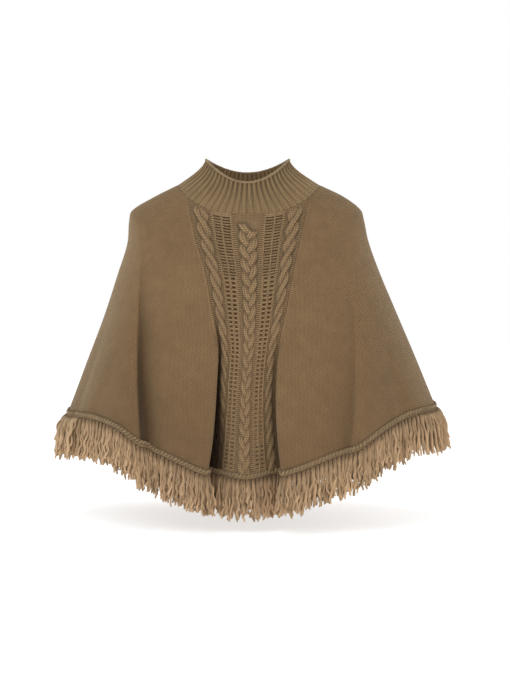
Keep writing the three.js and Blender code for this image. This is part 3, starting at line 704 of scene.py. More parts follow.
@dataclass(frozen=True)
class WoolFinish:
    """Matt wool, whose shade and relief follow the way its yarn lies.

    Real wool scatters light inside its fibres, so it has hardly any shine. The loose fibres round it catch a
    little light where the cloth turns away from the eye.
    """

    name: str
    yarn: str
    shade: str
    depth: float
    fuzz: float
    noises: ClassVar[dict[str, tuple[float, float]]] = {}
    marks: ClassVar[tuple[str, ...]] = ("tone",)
    roughness: ClassVar[float] = 0.95
    specular: ClassVar[float] = 0.15
    sheen_roughness: ClassVar[float] = 0.5
    sheen_colour: ClassVar[str] = "#e3d2b4"
    noise_roughness: ClassVar[float] = 0.65

    def sums(self) -> dict[str, tuple]:
        """The sums that end in lightness and relief, in order: each one's operation and inputs."""
        raise NotImplementedError

    def build(self) -> bpy.types.Material:
        """The finished material."""
        material = bpy.data.materials.new(self.name)
        material.use_nodes = True
        tree = material.node_tree
        shader = tree.nodes["Principled BSDF"]
        cloth = add_node(tree, "ShaderNodeUVMap", uv_map="cloth").outputs["UV"]
        parts = add_node(tree, "ShaderNodeSeparateXYZ", {"Vector": cloth}).outputs
        place = add_node(tree, "ShaderNodeTexCoord").outputs["Object"]
        known = {"across": parts["X"], "down": parts["Y"]}
        for name, (scale, detail) in self.noises.items():
            inputs = {"Vector": place, "Scale": scale, "Detail": detail, "Roughness": self.noise_roughness}
            known[name] = add_node(tree, "ShaderNodeTexNoise", inputs).outputs["Fac"]
        # Vertex marks, among them the painted light and shade that scales the colour
        for name in self.marks:
            known[name] = add_node(tree, "ShaderNodeAttribute", attribute_name=name).outputs["Fac"]
        for name, (operation, *values) in self.sums().items():
            inputs = {i: known.get(value, value) for i, value in enumerate(values)}
            known[name] = add_node(tree, "ShaderNodeMath", inputs, operation=operation).outputs[0]

        shades = {"Factor": known["lightness"], "A": linear(self.shade), "B": linear(self.yarn)}
        colour = add_node(tree, "ShaderNodeMix", shades, data_type="RGBA").outputs["Result"]
        relief = {"Strength": 1.0, "Distance": self.depth * MM, "Height": known["relief"]}
        bump = add_node(tree, "ShaderNodeBump", relief).outputs["Normal"]
        tree.links.new(colour, shader.inputs["Base Color"])
        tree.links.new(bump, shader.inputs["Normal"])
        for key, value in {
            "Roughness": self.roughness,
            "Specular IOR Level": self.specular,
            "Sheen Weight": self.fuzz,
            "Sheen Roughness": self.sheen_roughness,
            "Sheen Tint": linear(self.sheen_colour),
        }.items():
            shader.inputs[key].default_value = value
        return material


@dataclass(frozen=True)
class KnitFinish(WoolFinish):
    """Soft wool blend in plain knitting: columns of V-shaped stitches with dark gaps between the yarns.

    To the eye it is a fine grain of light yarn and dark gaps. The stitches are drawn a little coarser than
    the real 3.3 by 2.6 mm, so that the grain shows from a step away. Where the mesh's purl mark is 1, the
    rows are the level ridges of the knit's other face.
    """

    depth: float = 0.7
    fuzz: float = 0.6
    wale: float = 4.8
    course: float = 3.7
    slant: float = 0.5
    marl: float = 0.4
    gaps: float = 0.76
    purl_pitch: float = 3.4
    wobble: float = 1.4  # how many stitches the columns sway by
    roundness: float = 0.6
    fibre_part: float = 0.6
    speck_part: float = 0.4
    drift_part: float = 0.3
    fibre_relief: float = 0.25
    rib_wale: ClassVar[float] = 8.0
    noises: ClassVar[dict[str, tuple[float, float]]] = {
        "sway": (16.0, 2.0),
        "fibre": (420.0, 3.0),
        "speck": (55.0, 3.0),
        "drift": (14.0, 3.0),
    }
    marks: ClassVar[tuple[str, ...]] = ("tone", "purl")

    def sums(self) -> dict[str, tuple]:
        """The sums that end in lightness and relief."""
        return {
            # A slow sway keeps the columns from looking ruled.
            "wobble": ("MULTIPLY_ADD", "sway", self.wobble, -self.wobble / 2),
            "wales": ("MULTIPLY_ADD", "across", 1 / (self.wale * MM), "wobble"),
            "courses": ("MULTIPLY_ADD", "down", 1 / (self.course * MM), "wobble"),
            # Each stitch has two legs, which lean towards each other.
            "half_wale": ("PINGPONG", "wales", 0.5),
            "leg": ("MULTIPLY", "half_wale", 2.0),
            "leaning": ("MULTIPLY_ADD", "leg", -self.slant, "courses"),
            "along": ("FRACT", "leaning"),
            "leg_turn": ("MULTIPLY", "leg", math.pi),
            "leg_height": ("SINE", "leg_turn"),
            "row_turn": ("MULTIPLY", "along", math.pi),
            "row_height": ("SINE", "row_turn"),
            "bulge": ("MULTIPLY", "leg_height", "row_height"),
            "plain": ("POWER", "bulge", self.roundness),
            "ridge_turn": ("MULTIPLY", "down", 2 * math.pi / (self.purl_pitch * MM)),
            "ridge_wave": ("SINE", "ridge_turn"),
            "ridge": ("MULTIPLY_ADD", "ridge_wave", 0.5, 0.5),
            "ridge_or_plain": ("SUBTRACT", "ridge", "plain"),
            "stitch": ("MULTIPLY_ADD", "ridge_or_plain", "purl", "plain"),
            # Heather: the yarn's own uneven shade, from single fibres to broad drifts
            "fine": ("MULTIPLY", "fibre", self.fibre_part),
            "uneven": ("MULTIPLY_ADD", "speck", self.speck_part, "fine"),
            "marled": ("MULTIPLY_ADD", "uneven", 2.0 * self.marl, 1.0 - self.marl),
            "broad": ("MULTIPLY_ADD", "drift", self.drift_part, 1.0 - self.drift_part / 2),
            "heather": ("MULTIPLY", "marled", "broad"),
            "knit": ("MULTIPLY_ADD", "stitch", self.gaps, 1.0 - self.gaps),
            "dyed": ("MULTIPLY", "knit", "heather"),
            "lightness": ("MULTIPLY", "dyed", "tone"),
            "relief": ("MULTIPLY_ADD", "fibre", self.fibre_relief, "stitch"),
        }


@dataclass(frozen=True)
class YarnFinish(WoolFinish):
    """Loose plied wool yarn: two plies twisted round each other, with loose fibres.

    To the eye each strand is a soft cord with darker slanting grooves, lighter or darker than its neighbours,
    partly at random and partly by painted light and shade.
    """

    depth: float = 0.65
    fuzz: float = 0.8
    twist: float = 8.0
    plain_part: float = 0.3  # of the yarn's shade, which its fibres leave alone
    fibre_relief: float = 0.5
    noises: ClassVar[dict[str, tuple[float, float]]] = {"fibre": (800.0, 3.0)}
    marks: ClassVar[tuple[str, ...]] = ("tone", "lot")

    def sums(self) -> dict[str, tuple]:
        """The sums that end in lightness and relief."""
        return {
            "turn": ("MULTIPLY", "down", 2 * math.pi / (self.twist * MM)),
            "winding": ("MULTIPLY_ADD", "across", 4 * math.pi / MM, "turn"),
            "wave": ("SINE", "winding"),
            "ply": ("ABSOLUTE", "wave"),
            "grooves": ("MULTIPLY_ADD", "ply", 0.5, 0.5),
            "heather": ("MULTIPLY_ADD", "fibre", 1.0 - self.plain_part, self.plain_part),
            "dyed": ("MULTIPLY", "grooves", "heather"),
            "shades": ("MULTIPLY", "tone", "lot"),
            "lightness": ("MULTIPLY", "dyed", "shades"),
            "relief": ("MULTIPLY_ADD", "fibre", self.fibre_relief, "ply"),
        }


@dataclass(frozen=True)
class FloorFinish:
    """A plain white studio sweep of matt paper, lit from below too, so that shadows stay pale on it."""

    name: str = "studio_white"
    colour: str = "#f2f2f2"
    glow: float = 0.66
    roughness: float = 0.9

    def build(self) -> bpy.types.Material:
        """The finished material."""
        material = bpy.data.materials.new(self.name)
        material.use_nodes = True
        shader = material.node_tree.nodes["Principled BSDF"]
        for key, value in {
            "Base Color": linear(self.colour),
            "Emission Color": (*WHITE, 1.0),
            "Emission Strength": self.glow,
            "Roughness": self.roughness,
            "Specular IOR Level": 0.0,
        }.items():
            shader.inputs[key].default_value = value
        return material


@dataclass
class Finishes:
    """Every material of the garment."""

    plain: bpy.types.Material
    cable: bpy.types.Material
    rib: bpy.types.Material
    trim: bpy.types.Material
    fringe: bpy.types.Material

    @classmethod
    def make(cls) -> Finishes:
        """Builds the materials."""
        return cls(
            plain=KnitFinish(
                "wool_plain_knit", yarn="#a78660", shade="#2b1708", depth=0.4, fuzz=0.42
            ).build(),
            cable=KnitFinish(
                "wool_cable_knit", yarn="#b0906a", shade="#271305", depth=0.9, fuzz=0.3, wale=4.6
            ).build(),
            rib=KnitFinish(
                "wool_rib_knit", yarn="#a3855f", shade="#251a0e", wale=KnitFinish.rib_wale, gaps=0.4
            ).build(),
            trim=YarnFinish("wool_edge_yarn", yarn="#cfae84", shade="#40301d").build(),
            fringe=YarnFinish("wool_fringe_yarn", yarn="#f4cb9e", shade="#5e4024").build(),
        )


def settle(piece: bpy.types.Object, slot: str, *nodes: str) -> None:
    """Makes a piece ride with the garment.

    Args:
        piece: The finished piece.
        slot: The record's material slot. Not used.
        nodes: The solids that it stands for.
    """
    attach(piece, BODY)
    if nodes:
        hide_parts(*nodes)
    LOG.info("%s: %d faces", piece.name, len(piece.data.polygons))


def place_along(path: np.ndarray, pitch: float) -> tuple[np.ndarray, np.ndarray]:
    """Points at even distances along a path.

    Args:
        path: Points in millimetres, one row each.
        pitch: The distance wanted between them.

    Returns:
        The points and the unit directions of the path there.
    """
    lengths = arc_lengths(path[None])[0]
    count = max(2, round(lengths[-1] / pitch))
    at = (np.arange(count) + 0.5) * lengths[-1] / count
    points = np.stack([np.interp(at, lengths, path[:, k]) for k in range(path.shape[1])], axis=-1)
    ahead = np.stack([np.interp(at + 1, lengths, path[:, k]) for k in range(3)], axis=-1)
    behind = np.stack([np.interp(at - 1, lengths, path[:, k]) for k in range(3)], axis=-1)
    direction = ahead - behind
    return points, direction / np.linalg.norm(direction, axis=-1, keepdims=True)


def turns_from(x_axes: np.ndarray, z_axes: np.ndarray) -> np.ndarray:
    """Turns small shapes to given directions.

    Args:
        x_axes: Where each one's x points.
        z_axes: Where each one's z points, as near as x leaves it.

    Returns:
        Euler angles by row.
    """
    turns = []
    for x_axis, z_axis in zip(x_axes, z_axes):
        x, z = Vector(x_axis).normalized(), Vector(z_axis)
        z = (z - x * z.dot(x)).normalized()
        y = z.cross(x)
        turns.append(tuple(Matrix((x, y, z)).transposed().to_euler()))
    return np.array(turns)


@dataclass
class Scatter:
    """A Geometry Nodes tree that sets small shapes on points, each picked, turned and sized by its point."""

    name: str
    material: bpy.types.Material
    row_sizes: tuple[float, float] = (0.92, 1.12)
    row_shades: tuple[float, float] = (0.8, 1.05)

    def tree(self) -> bpy.types.NodeTree:
        """The node tree, with named inputs for its points and shapes."""
        tree = bpy.data.node_groups.new(self.name, "GeometryNodeTree")
        sockets = tree.interface
        sockets.new_socket(name="Points", in_out="INPUT", socket_type="NodeSocketGeometry")
        sockets.new_socket(name="Shapes", in_out="INPUT", socket_type="NodeSocketCollection")
        sockets.new_socket(name="Geometry", in_out="OUTPUT", socket_type="NodeSocketGeometry")
        given = add_node(tree, "NodeGroupInput").outputs
        taken = {"Collection": given["Shapes"], "Separate Children": True}
        shapes = add_node(tree, "GeometryNodeCollectionInfo", taken)
        carried = {}
        for name, kind in (("turn", "FLOAT_VECTOR"), ("choice", "INT"), ("size", "FLOAT_VECTOR")):
            node = add_node(tree, "GeometryNodeInputNamedAttribute", {"Name": name}, data_type=kind)
            carried[name] = node.outputs["Attribute"]
        rotation = add_node(tree, "FunctionNodeEulerToRotation", {"Euler": carried["turn"]})
        placed = add_node(
            tree,
            "GeometryNodeInstanceOnPoints",
            {
                "Points": given["Points"],
                "Instance": shapes.outputs[0],
                "Pick Instance": True,
                "Instance Index": carried["choice"],
                "Rotation": rotation.outputs["Rotation"],
                "Scale": carried["size"],
            },
        )
        solid = add_node(tree, "GeometryNodeRealizeInstances", {"Geometry": placed.outputs["Instances"]})
        finish = {"Geometry": solid.outputs["Geometry"], "Material": self.material}
        dressed = add_node(tree, "GeometryNodeSetMaterial", finish)
        add_node(tree, "NodeGroupOutput", {"Geometry": dressed.outputs["Geometry"]})
        return tree

    def build(
        self,
        points: np.ndarray,
        turns: np.ndarray,
        shapes: list[bpy.types.Object],
        choices: np.ndarray,
        sizes: np.ndarray,
        tones: np.ndarray,
    ) -> bpy.types.Object:
        """Scatters the shapes.

        Args:
            points: Where they go, in millimetres.
            turns: Euler angles for each point.
            shapes: The shapes to pick from, modelled round the origin, in the order of their names.
            choices: The number of each point's shape.
            sizes: The scale of each point's shape along its three axes.
            tones: How light each point's shape is, at random and with any painted shade that the caller
                gives.

        Returns:
            One plain mesh of them all.
        """
        mesh = bpy.data.meshes.new(f"{self.name}_points")
        mesh.from_pydata((points * MM).tolist(), [], [])
        for key, kind, where, values in (
            ("turn", "FLOAT_VECTOR", "vector", turns.astype(np.float32)),
            ("size", "FLOAT_VECTOR", "vector", sizes.astype(np.float32)),
            ("choice", "INT", "value", choices.astype(np.int32)),
            ("lot", "FLOAT", "value", tones.astype(np.float32)),
        ):
            mesh.attributes.new(key, kind, "POINT").data.foreach_set(where, values.ravel())
        holder = bpy.data.objects.new(f"{self.name}_points", mesh)
        bpy.context.scene.collection.objects.link(holder)
        kit = bpy.data.collections.new(f"{self.name}_shapes")
        for shape in shapes:
            kit.objects.link(shape)
        tree = self.tree()
        modifier = holder.modifiers.new("scatter", "NODES")
        modifier.node_group = tree
        for item in tree.interface.items_tree:
            if item.name == "Shapes":
                modifier[item.identifier] = kit
        bpy.context.view_layer.update()
        evaluated = holder.evaluated_get(bpy.context.evaluated_depsgraph_get())
        result = bpy.data.meshes.new_from_object(evaluated)
        holder.modifiers.clear()
        bpy.data.objects.remove(holder)
        for shape in shapes:
            bpy.data.objects.remove(shape)
        bpy.data.collections.remove(kit)
        for key in ("turn", "size", "choice"):
            if key in result.attributes:
                result.attributes.remove(result.attributes[key])
        result.name = self.name
        result.polygons.foreach_set("use_smooth", np.ones(len(result.polygons), bool))
        piece = bpy.data.objects.new(self.name, result)
        bpy.context.scene.collection.objects.link(piece)
        return piece

    def row(
        self, points: np.ndarray, turns: np.ndarray, shape: bpy.types.Object, random: np.random.Generator
    ) -> bpy.types.Object:
        """Scatters one shape with slightly uneven sizes and shades.

        Args:
            points: Where it goes, in millimetres.
            turns: Euler angles for each point.
            shape: The shape, modelled round the origin.
            random: What the uneven values are drawn from.

        Returns:
            One plain mesh of them all.
        """
        count = len(points)
        sizes = np.repeat(random.uniform(*self.row_sizes, count)[:, None], 3, axis=1)
        tones = random.uniform(*self.row_shades, count)
        return self.build(points, turns, [shape], np.zeros(count), sizes, tones)


def strand_shape(
    name: str, path: np.ndarray, radii: np.ndarray, sides: int, tones: np.ndarray
) -> bpy.types.Object:
    """A closed tube of yarn round a path, kept out of the scene.

    Args:
        name: The shape's name.
        path: Points along it, in millimetres.
        radii: Its radius at every point.
        sides: Number of sides.
        tones: Its painted light and shade at every point.

    Returns:
        The object, with the turn round it and the distance along it as cloth coordinates.
    """
    tangent = np.gradient(path, axis=0)
    tangent /= np.linalg.norm(tangent, axis=1, keepdims=True)
    # A direction that no strand runs along, so that the rings have a start
    aside = (0.0, 1.0, 0.001)
    first = np.cross(tangent, aside)
    first /= np.linalg.norm(first, axis=1, keepdims=True)
    second = np.cross(tangent, first)
    angles = np.linspace(0, 2 * np.pi, sides, endpoint=False)
    ring = np.cos(angles)[None, :, None] * first[:, None] + np.sin(angles)[None, :, None] * second[:, None]
    points = path[:, None] + ring * radii[:, None, None]
    count = len(path)
    faces = []
    for i in range(count - 1):
        for k in range(sides):
            n = (k + 1) % sides
            faces.append([i * sides + k, i * sides + n, (i + 1) * sides + n, (i + 1) * sides + k])
    faces.append(list(range(sides))[::-1])
    faces.append([(count - 1) * sides + k for k in range(sides)])
    mesh = bpy.data.meshes.new(name)
    mesh.from_pydata((points.reshape(-1, 3) * MM).tolist(), [], faces)
    along = arc_lengths(path[None])[0]
    tone = mesh.attributes.new("tone", "FLOAT", "POINT")
    tone.data.foreach_set("value", np.repeat(tones, sides).astype(np.float32))
    layer = mesh.uv_layers.new(name="cloth")
    for polygon in mesh.polygons:
        for corner in polygon.loop_indices:
            vertex = mesh.loops[corner].vertex_index
            around = (vertex % sides) / sides
            if around == 0 and any(
                mesh.loops[other].vertex_index % sides == sides - 1 for other in polygon.loop_indices
            ):
                around = 1.0
            layer.data[corner].uv = (around * MM, along[vertex // sides] * MM)
    return bpy.data.objects.new(name, mesh)


@dataclass
class Collar:
    """The ribbed funnel collar, open at the top, with its bound-off rim."""

    rim: dict[str, float] = field(
        default_factory=lambda: {"left": 72.5, "right": 74.0, "front": 54.0, "back": 54.0}
    )
    rim_side_z: float = 61.0
    rim_z: dict[Face, float] = field(default_factory=lambda: {Face.FRONT: 21.0, Face.BACK: 38.0})
    ribs: int = 58
    columns_per_rib: int = 7
    rows: int = 44
    rib_depth: float = 2.1
    flare: float = 1.65
    thickness: float = 2.2
    drop: float = 2.2
    drop_power: float = 6.0
    ridge_power: float = 0.7
    flattens: tuple[float, float] = (0.45, 1.0)
    flattened: float = 0.55
    rim_fade: tuple[float, float] = (-0.05, 0.06)
    lift: tuple[float, float] = (0.4, 0.8)
    light: float = 0.94
    groove_shade: tuple[float, float] = (0.72, 0.2)
    # Painted light: the collar's inner side is made this much lighter
    inner_painted_light: float = 1.6
    rim_points: int = 400
    chain_pitch: float = 3.5
    chain_lift: float = 0.2

    def surface(self, form: Form, angle: np.ndarray, share: np.ndarray) -> np.ndarray:
        """Points of the collar.

        Args:
            form: The garment's form, which its base meets.
            angle: Turn from the right side over the front.
            share: 0 at the rim and 1 at the base.

        Returns:
            Points with x, y and z on the last axis.
        """
        c, s = np.cos(angle), np.sin(angle)
        base = {name: LEVELS.columns[name][0] for name in ("left", "right", "front", "back")}
        spread = share**self.flare

        def radius(negative: str, positive: str, value: np.ndarray) -> np.ndarray:
            """The collar's half-width.

            Args:
                negative: The name of the size where value is below 0.
                positive: The name of the size elsewhere.
                value: The place across.

            Returns:
                The half-width in millimetres.
            """
            rim = np.where(value < 0, self.rim[negative], self.rim[positive])
            foot = np.where(value < 0, base[negative], base[positive])
            return mix(rim, foot, spread)

        x = c * radius("left", "right", c)
        y = -s * radius("back", "front", s)
        rim_z = mix(np.where(s > 0, self.rim_z[Face.FRONT], self.rim_z[Face.BACK]), self.rim_side_z, c * c)
        zero = np.zeros_like(c)
        base_z = np.where(
            s > 0,
            form.height(Face.FRONT, Side.LEFT, np.abs(c), zero),
            form.height(Face.BACK, Side.LEFT, np.abs(c), zero),
        )
        return np.stack([x, y, mix(rim_z, base_z, share)], axis=-1)

    def dress(self, form: Form, finishes: Finishes) -> None:
        """Builds the collar and the chain of stitches round its rim.

        Args:
            form: The garment's form.
            finishes: Its materials.
        """
        columns = self.ribs * self.columns_per_rib
        angle = np.linspace(0, 2 * np.pi, columns, endpoint=False)[None, :]
        share = np.linspace(0, 1, self.rows)[:, None]
        angle, share = np.broadcast_arrays(angle, share)
        points = self.surface(form, angle, share)
        points[..., 2] -= self.drop * share**self.drop_power
        length = np.linalg.norm(np.diff(points, axis=0), axis=-1).sum(axis=0).mean()
        turn = angle * self.ribs / (2 * np.pi)
        wave = np.cos(2 * np.pi * turn)
        ridge = np.sign(wave) * np.abs(wave) ** self.ridge_power
        flatter = 1 - self.flattened * ease(*self.flattens, share)
        depth = self.rib_depth * flatter * ease(*self.rim_fade, share)
        relief = depth * (0.5 * ridge) + mix(*self.lift, share)
        # One rib is one wale of the finish, so that its gap lies in the groove.
        cloth = np.stack([(turn + 0.5) * KnitFinish.rib_wale, share * length], axis=-1)
        # Painted shade in the ribs' grooves, less of it towards the base
        tone = self.light - (0.5 - 0.5 * wave) * mix(*self.groove_shade, share)
        shell = Shell(
            "ribbed_collar",
            Grid(points, cloth),
            relief,
            self.thickness,
            closed=True,
            inner_follows=True,
            marks={"tone": tone},
            inner_painted_light=self.inner_painted_light,
        )
        collar = shell.build(finishes.rib)
        settle(collar, "ribbing", "collar")

        rim = self.surface(form, np.linspace(0, 2 * np.pi, self.rim_points), np.zeros(self.rim_points))
        rim[:, 2] += self.chain_lift
        spots, directions = place_along(rim, self.chain_pitch)
        outward = spots * np.array([1.0, 1.0, 0.0])
        random = np.random.default_rng(SEED)
        stitches = Scatter("collar_rim_chain", finishes.trim).row(
            spots, turns_from(directions, outward), chain_stitch("rim_stitch", 6.2, 4.4, 3.4), random
        )
        settle(stitches, "ribbing")
        shell.flat_size()


def chain_stitch(name: str, length: float, width: float, height: float) -> bpy.types.Object:
    """One bound-off stitch: a short fat loop of yarn that leans over the next one.

    Args:
        name: The shape's name.
        length: Its length along the edge, in millimetres.
        width: Its width across the edge.
        height: How far it stands out.

    Returns:
        The object, kept out of the scene.
    """
    t = np.linspace(0, 1, 6)
    path = np.stack([(t - 0.5) * length, np.sin(np.pi * t) * 0.5 - 0.3, 0.4 * np.cos(np.pi * t)], axis=-1)
    radii = width / 2 * (0.45 + 0.55 * np.sin(np.pi * np.clip(t, 0.06, 0.94)))
    # Painted light along the loop: lighter in its middle, darker at its ends where it goes under its
    # neighbours
    shape = strand_shape(name, path, radii, 6, 0.7 + 0.35 * np.sin(np.pi * t))
    for vertex in shape.data.vertices:
        vertex.co.z *= height / width * 1.3
    return shape


@dataclass
class CabledPanel:
    """The front panel: a plait between two ladders of open stitches on each side, and a rope by each seam."""

    columns: int = 121
    rows: int = 361
    cable_height: float = 5.0
    plait_starts: tuple[float, float] = (17.0, 25.0)
    ropes_start: tuple[float, float] = (2.0, 16.0)
    right_strand_lag: float = 13.0
    flattens: tuple[float, float] = (120.0, 260.0)
    plait_half: float = 0.175
    plait_lobe: float = 23.0
    rope_centre: float = 0.8
    rope_half: float = 0.125
    rope_lobe: float = 27.0
    ladders: tuple[tuple[float, float], ...] = ((0.325, 0.415), (0.485, 0.565))
    wales: tuple[float, ...] = (0.29, 0.45, 0.6)
    thickness: float = 2.2
    dash_rows: int = 84
    dash_widening: float = 0.017
    last_cut_row: int = 318
    first_row: int = 6
    reach: tuple[float, float] = (0.002, 0.978)  # the places down where the cloth starts and ends
    swings: dict[int, float] = field(default_factory=lambda: {2: 0.46, 3: 0.54})
    strand_widths: dict[int, float] = field(default_factory=lambda: {2: 0.62, 3: 0.52})
    middle_height: float = 0.66  # a strand's height between crossings, as a share of the full one
    crossing_height: float = 0.34  # how much higher it is on top, and how much lower underneath
    lag_reach: tuple[float, float] = (-0.3, 0.5)
    wear: float = 0.3
    wale_height: float = 1.1
    wale_width: float = 0.014
    ladder_depth: float = 0.5
    ladder_margin: float = 0.012
    dash_cycle: tuple[int, int] = (4, 2)  # rows from one dash to the next, and how many of them are open
    hole_cycle: tuple[int, int] = (6, 3)
    last_rows: int = 4
    hollow_height: float = 1.6
    most_lit: float = -0.4
    light: float = 0.86
    hollow_shade: float = 0.5
    cable_light: float = 0.12
    rung_light: float = 0.4
    dent_shade: float = 0.7
    right_shade: float = 0.5
    purl_bands: tuple[tuple[float, float], ...] = ((0.19, 0.285), (0.615, 0.665), (0.93, 2.0))
    strand_wales: float = 3.6

    def cable(
        self, place: np.ndarray, down: np.ndarray, strands: int, lobe: float
    ) -> tuple[np.ndarray, np.ndarray]:
        """A cable's form.

        Args:
            place: Place across the cable, from -1 to 1.
            down: Distance from the neckline in millimetres.
            strands: 2 for a rope and 3 for a plait.
            lobe: Distance between crossings.

        Returns:
            Its height as a share of the full one, and the place across the strand that lies on top.
        """
        swing, width = self.swings[strands], self.strand_widths[strands]
        best, across = np.zeros(place.shape), np.zeros(place.shape)
        for k in range(strands):
            angle = 2 * np.pi * (down / (lobe * strands) + k / strands)
            offset = (place + swing * np.sin(angle)) / width
            over = np.cos(angle) if strands == 2 else -np.sin(2 * angle)
            rise = self.middle_height + self.crossing_height * over
            height = np.sqrt(np.maximum(0, 1 - offset**2)) * rise
            higher = height > best
            best = np.where(higher, height, best)
            across = np.where(higher, offset, across)
        return best, across

    def dress(self, form: Form, finishes: Finishes) -> None:
        """Builds the panel with its cables, wales and open stitches.

        Args:
            form: The garment's form.
            finishes: Its materials.
        """
        across = np.linspace(1, -1, self.columns)
        share = np.linspace(*self.reach, self.rows)
        points = form.panel(across, share)
        place, down = np.broadcast_arrays(across[None, :], share[:, None] * form.length)
        out = np.abs(place)
        plait, plait_across = self.cable(place / self.plait_half, down, 3, self.plait_lobe)
        rope, rope_across = self.cable((out - self.rope_centre) / self.rope_half, down, 2, self.rope_lobe)
        lag = self.right_strand_lag * ease(*self.lag_reach, place / self.plait_half)
        plait = plait * ease(*self.plait_starts, down - lag)
        rope = rope * ease(*self.ropes_start, down)
        worn = 1 - self.wear * ease(*self.flattens, down)
        relief = self.cable_height * worn * (plait + rope)
        for wale in self.wales:
            relief = relief + self.wale_height * bell(out - wale, self.wale_width)
        rungs = 0.0
        for inner, outer in self.ladders:
            middle, half = (inner + outer) / 2, (outer - inner) / 2 + self.ladder_margin
            relief = relief - self.ladder_depth * np.clip(1 - ((out - middle) / half) ** 2, 0, 1)
            rungs = rungs + np.exp(-(((out - middle) / half) ** 4))

        row = np.arange(self.rows - 1)[:, None] - self.first_row
        (dash, open_dash), (hole, open_hole) = self.dash_cycle, self.hole_cycle
        is_dash = row < self.dash_rows
        is_open = np.where(is_dash, row % dash < open_dash, (row - self.dash_rows) % hole < open_hole)
        is_open &= (row >= 0) & (row < self.rows - 1 - self.first_row - self.last_rows)
        cell = (np.abs(across[:-1] + across[1:]) / 2)[None, :]
        wider = np.where(is_dash, self.dash_widening, 0.0)
        in_ladder = np.zeros(is_open.shape, bool)
        for inner, outer in self.ladders:
            in_ladder = in_ladder | ((cell > inner - wider) & (cell < outer + wider))
        # The lowest open stitches are kept closed and darkened with painted shade, so that nothing behind the
        # garment shows through them.
        holes = is_open & in_ladder
        keep = ~(holes & (row < self.last_cut_row))
        dents = np.zeros(place.shape)
        dents[:-1, :-1] = holes & keep

        # Painted light and shade: the hollows between the cables' strands darker, the cables' tops and the
        # ladders' bands lighter
        hollow = np.clip((blur(relief, 4, 3) - relief) / self.hollow_height, self.most_lit, 1)
        tone = self.light - self.hollow_shade * hollow + self.cable_light * np.clip(plait + rope, 0, 1)
        tone = tone + self.rung_light * rungs
        tone = tone * (1 - self.dent_shade * dents)
        # Painted shade on the cloth under the turned-back fronts, most of all on the left.
        wide = ease(0.52, 0.96, share[:, None])
        shaded = ease(mix(0.86, 0.46, wide), mix(0.99, 0.76, wide), -across[None, :])
        tone = tone * (1 - ease(0.34, 0.5, share[:, None]) * shaded)
        right = ease(0.4, 0.8, share[:, None])
        tone = tone * (1 - self.right_shade * right * ease(0.82, 0.98, across[None, :]))
        purl = np.any([(out > inner) & (out < outer) for inner, outer in self.purl_bands], axis=0)

        half = np.linalg.norm(points[:, 0] - points[:, -1], axis=-1)[:, None] / 2
        u = place * half
        u = np.where(plait > 0, plait_across * self.strand_wales, u)
        u = np.where(rope > 0, rope_across * self.strand_wales, u)
        cloth = np.stack([u, down], axis=-1)
        marks = {"tone": tone, "purl": purl.astype(float)}
        grid = Grid(points, cloth)
        shell = Shell("cabled_front_panel", grid, relief, self.thickness, keep=keep, marks=marks)
        panel = shell.build(finishes.cable)
        settle(panel, "cable_knit", "cable_panel")
        shell.flat_size()


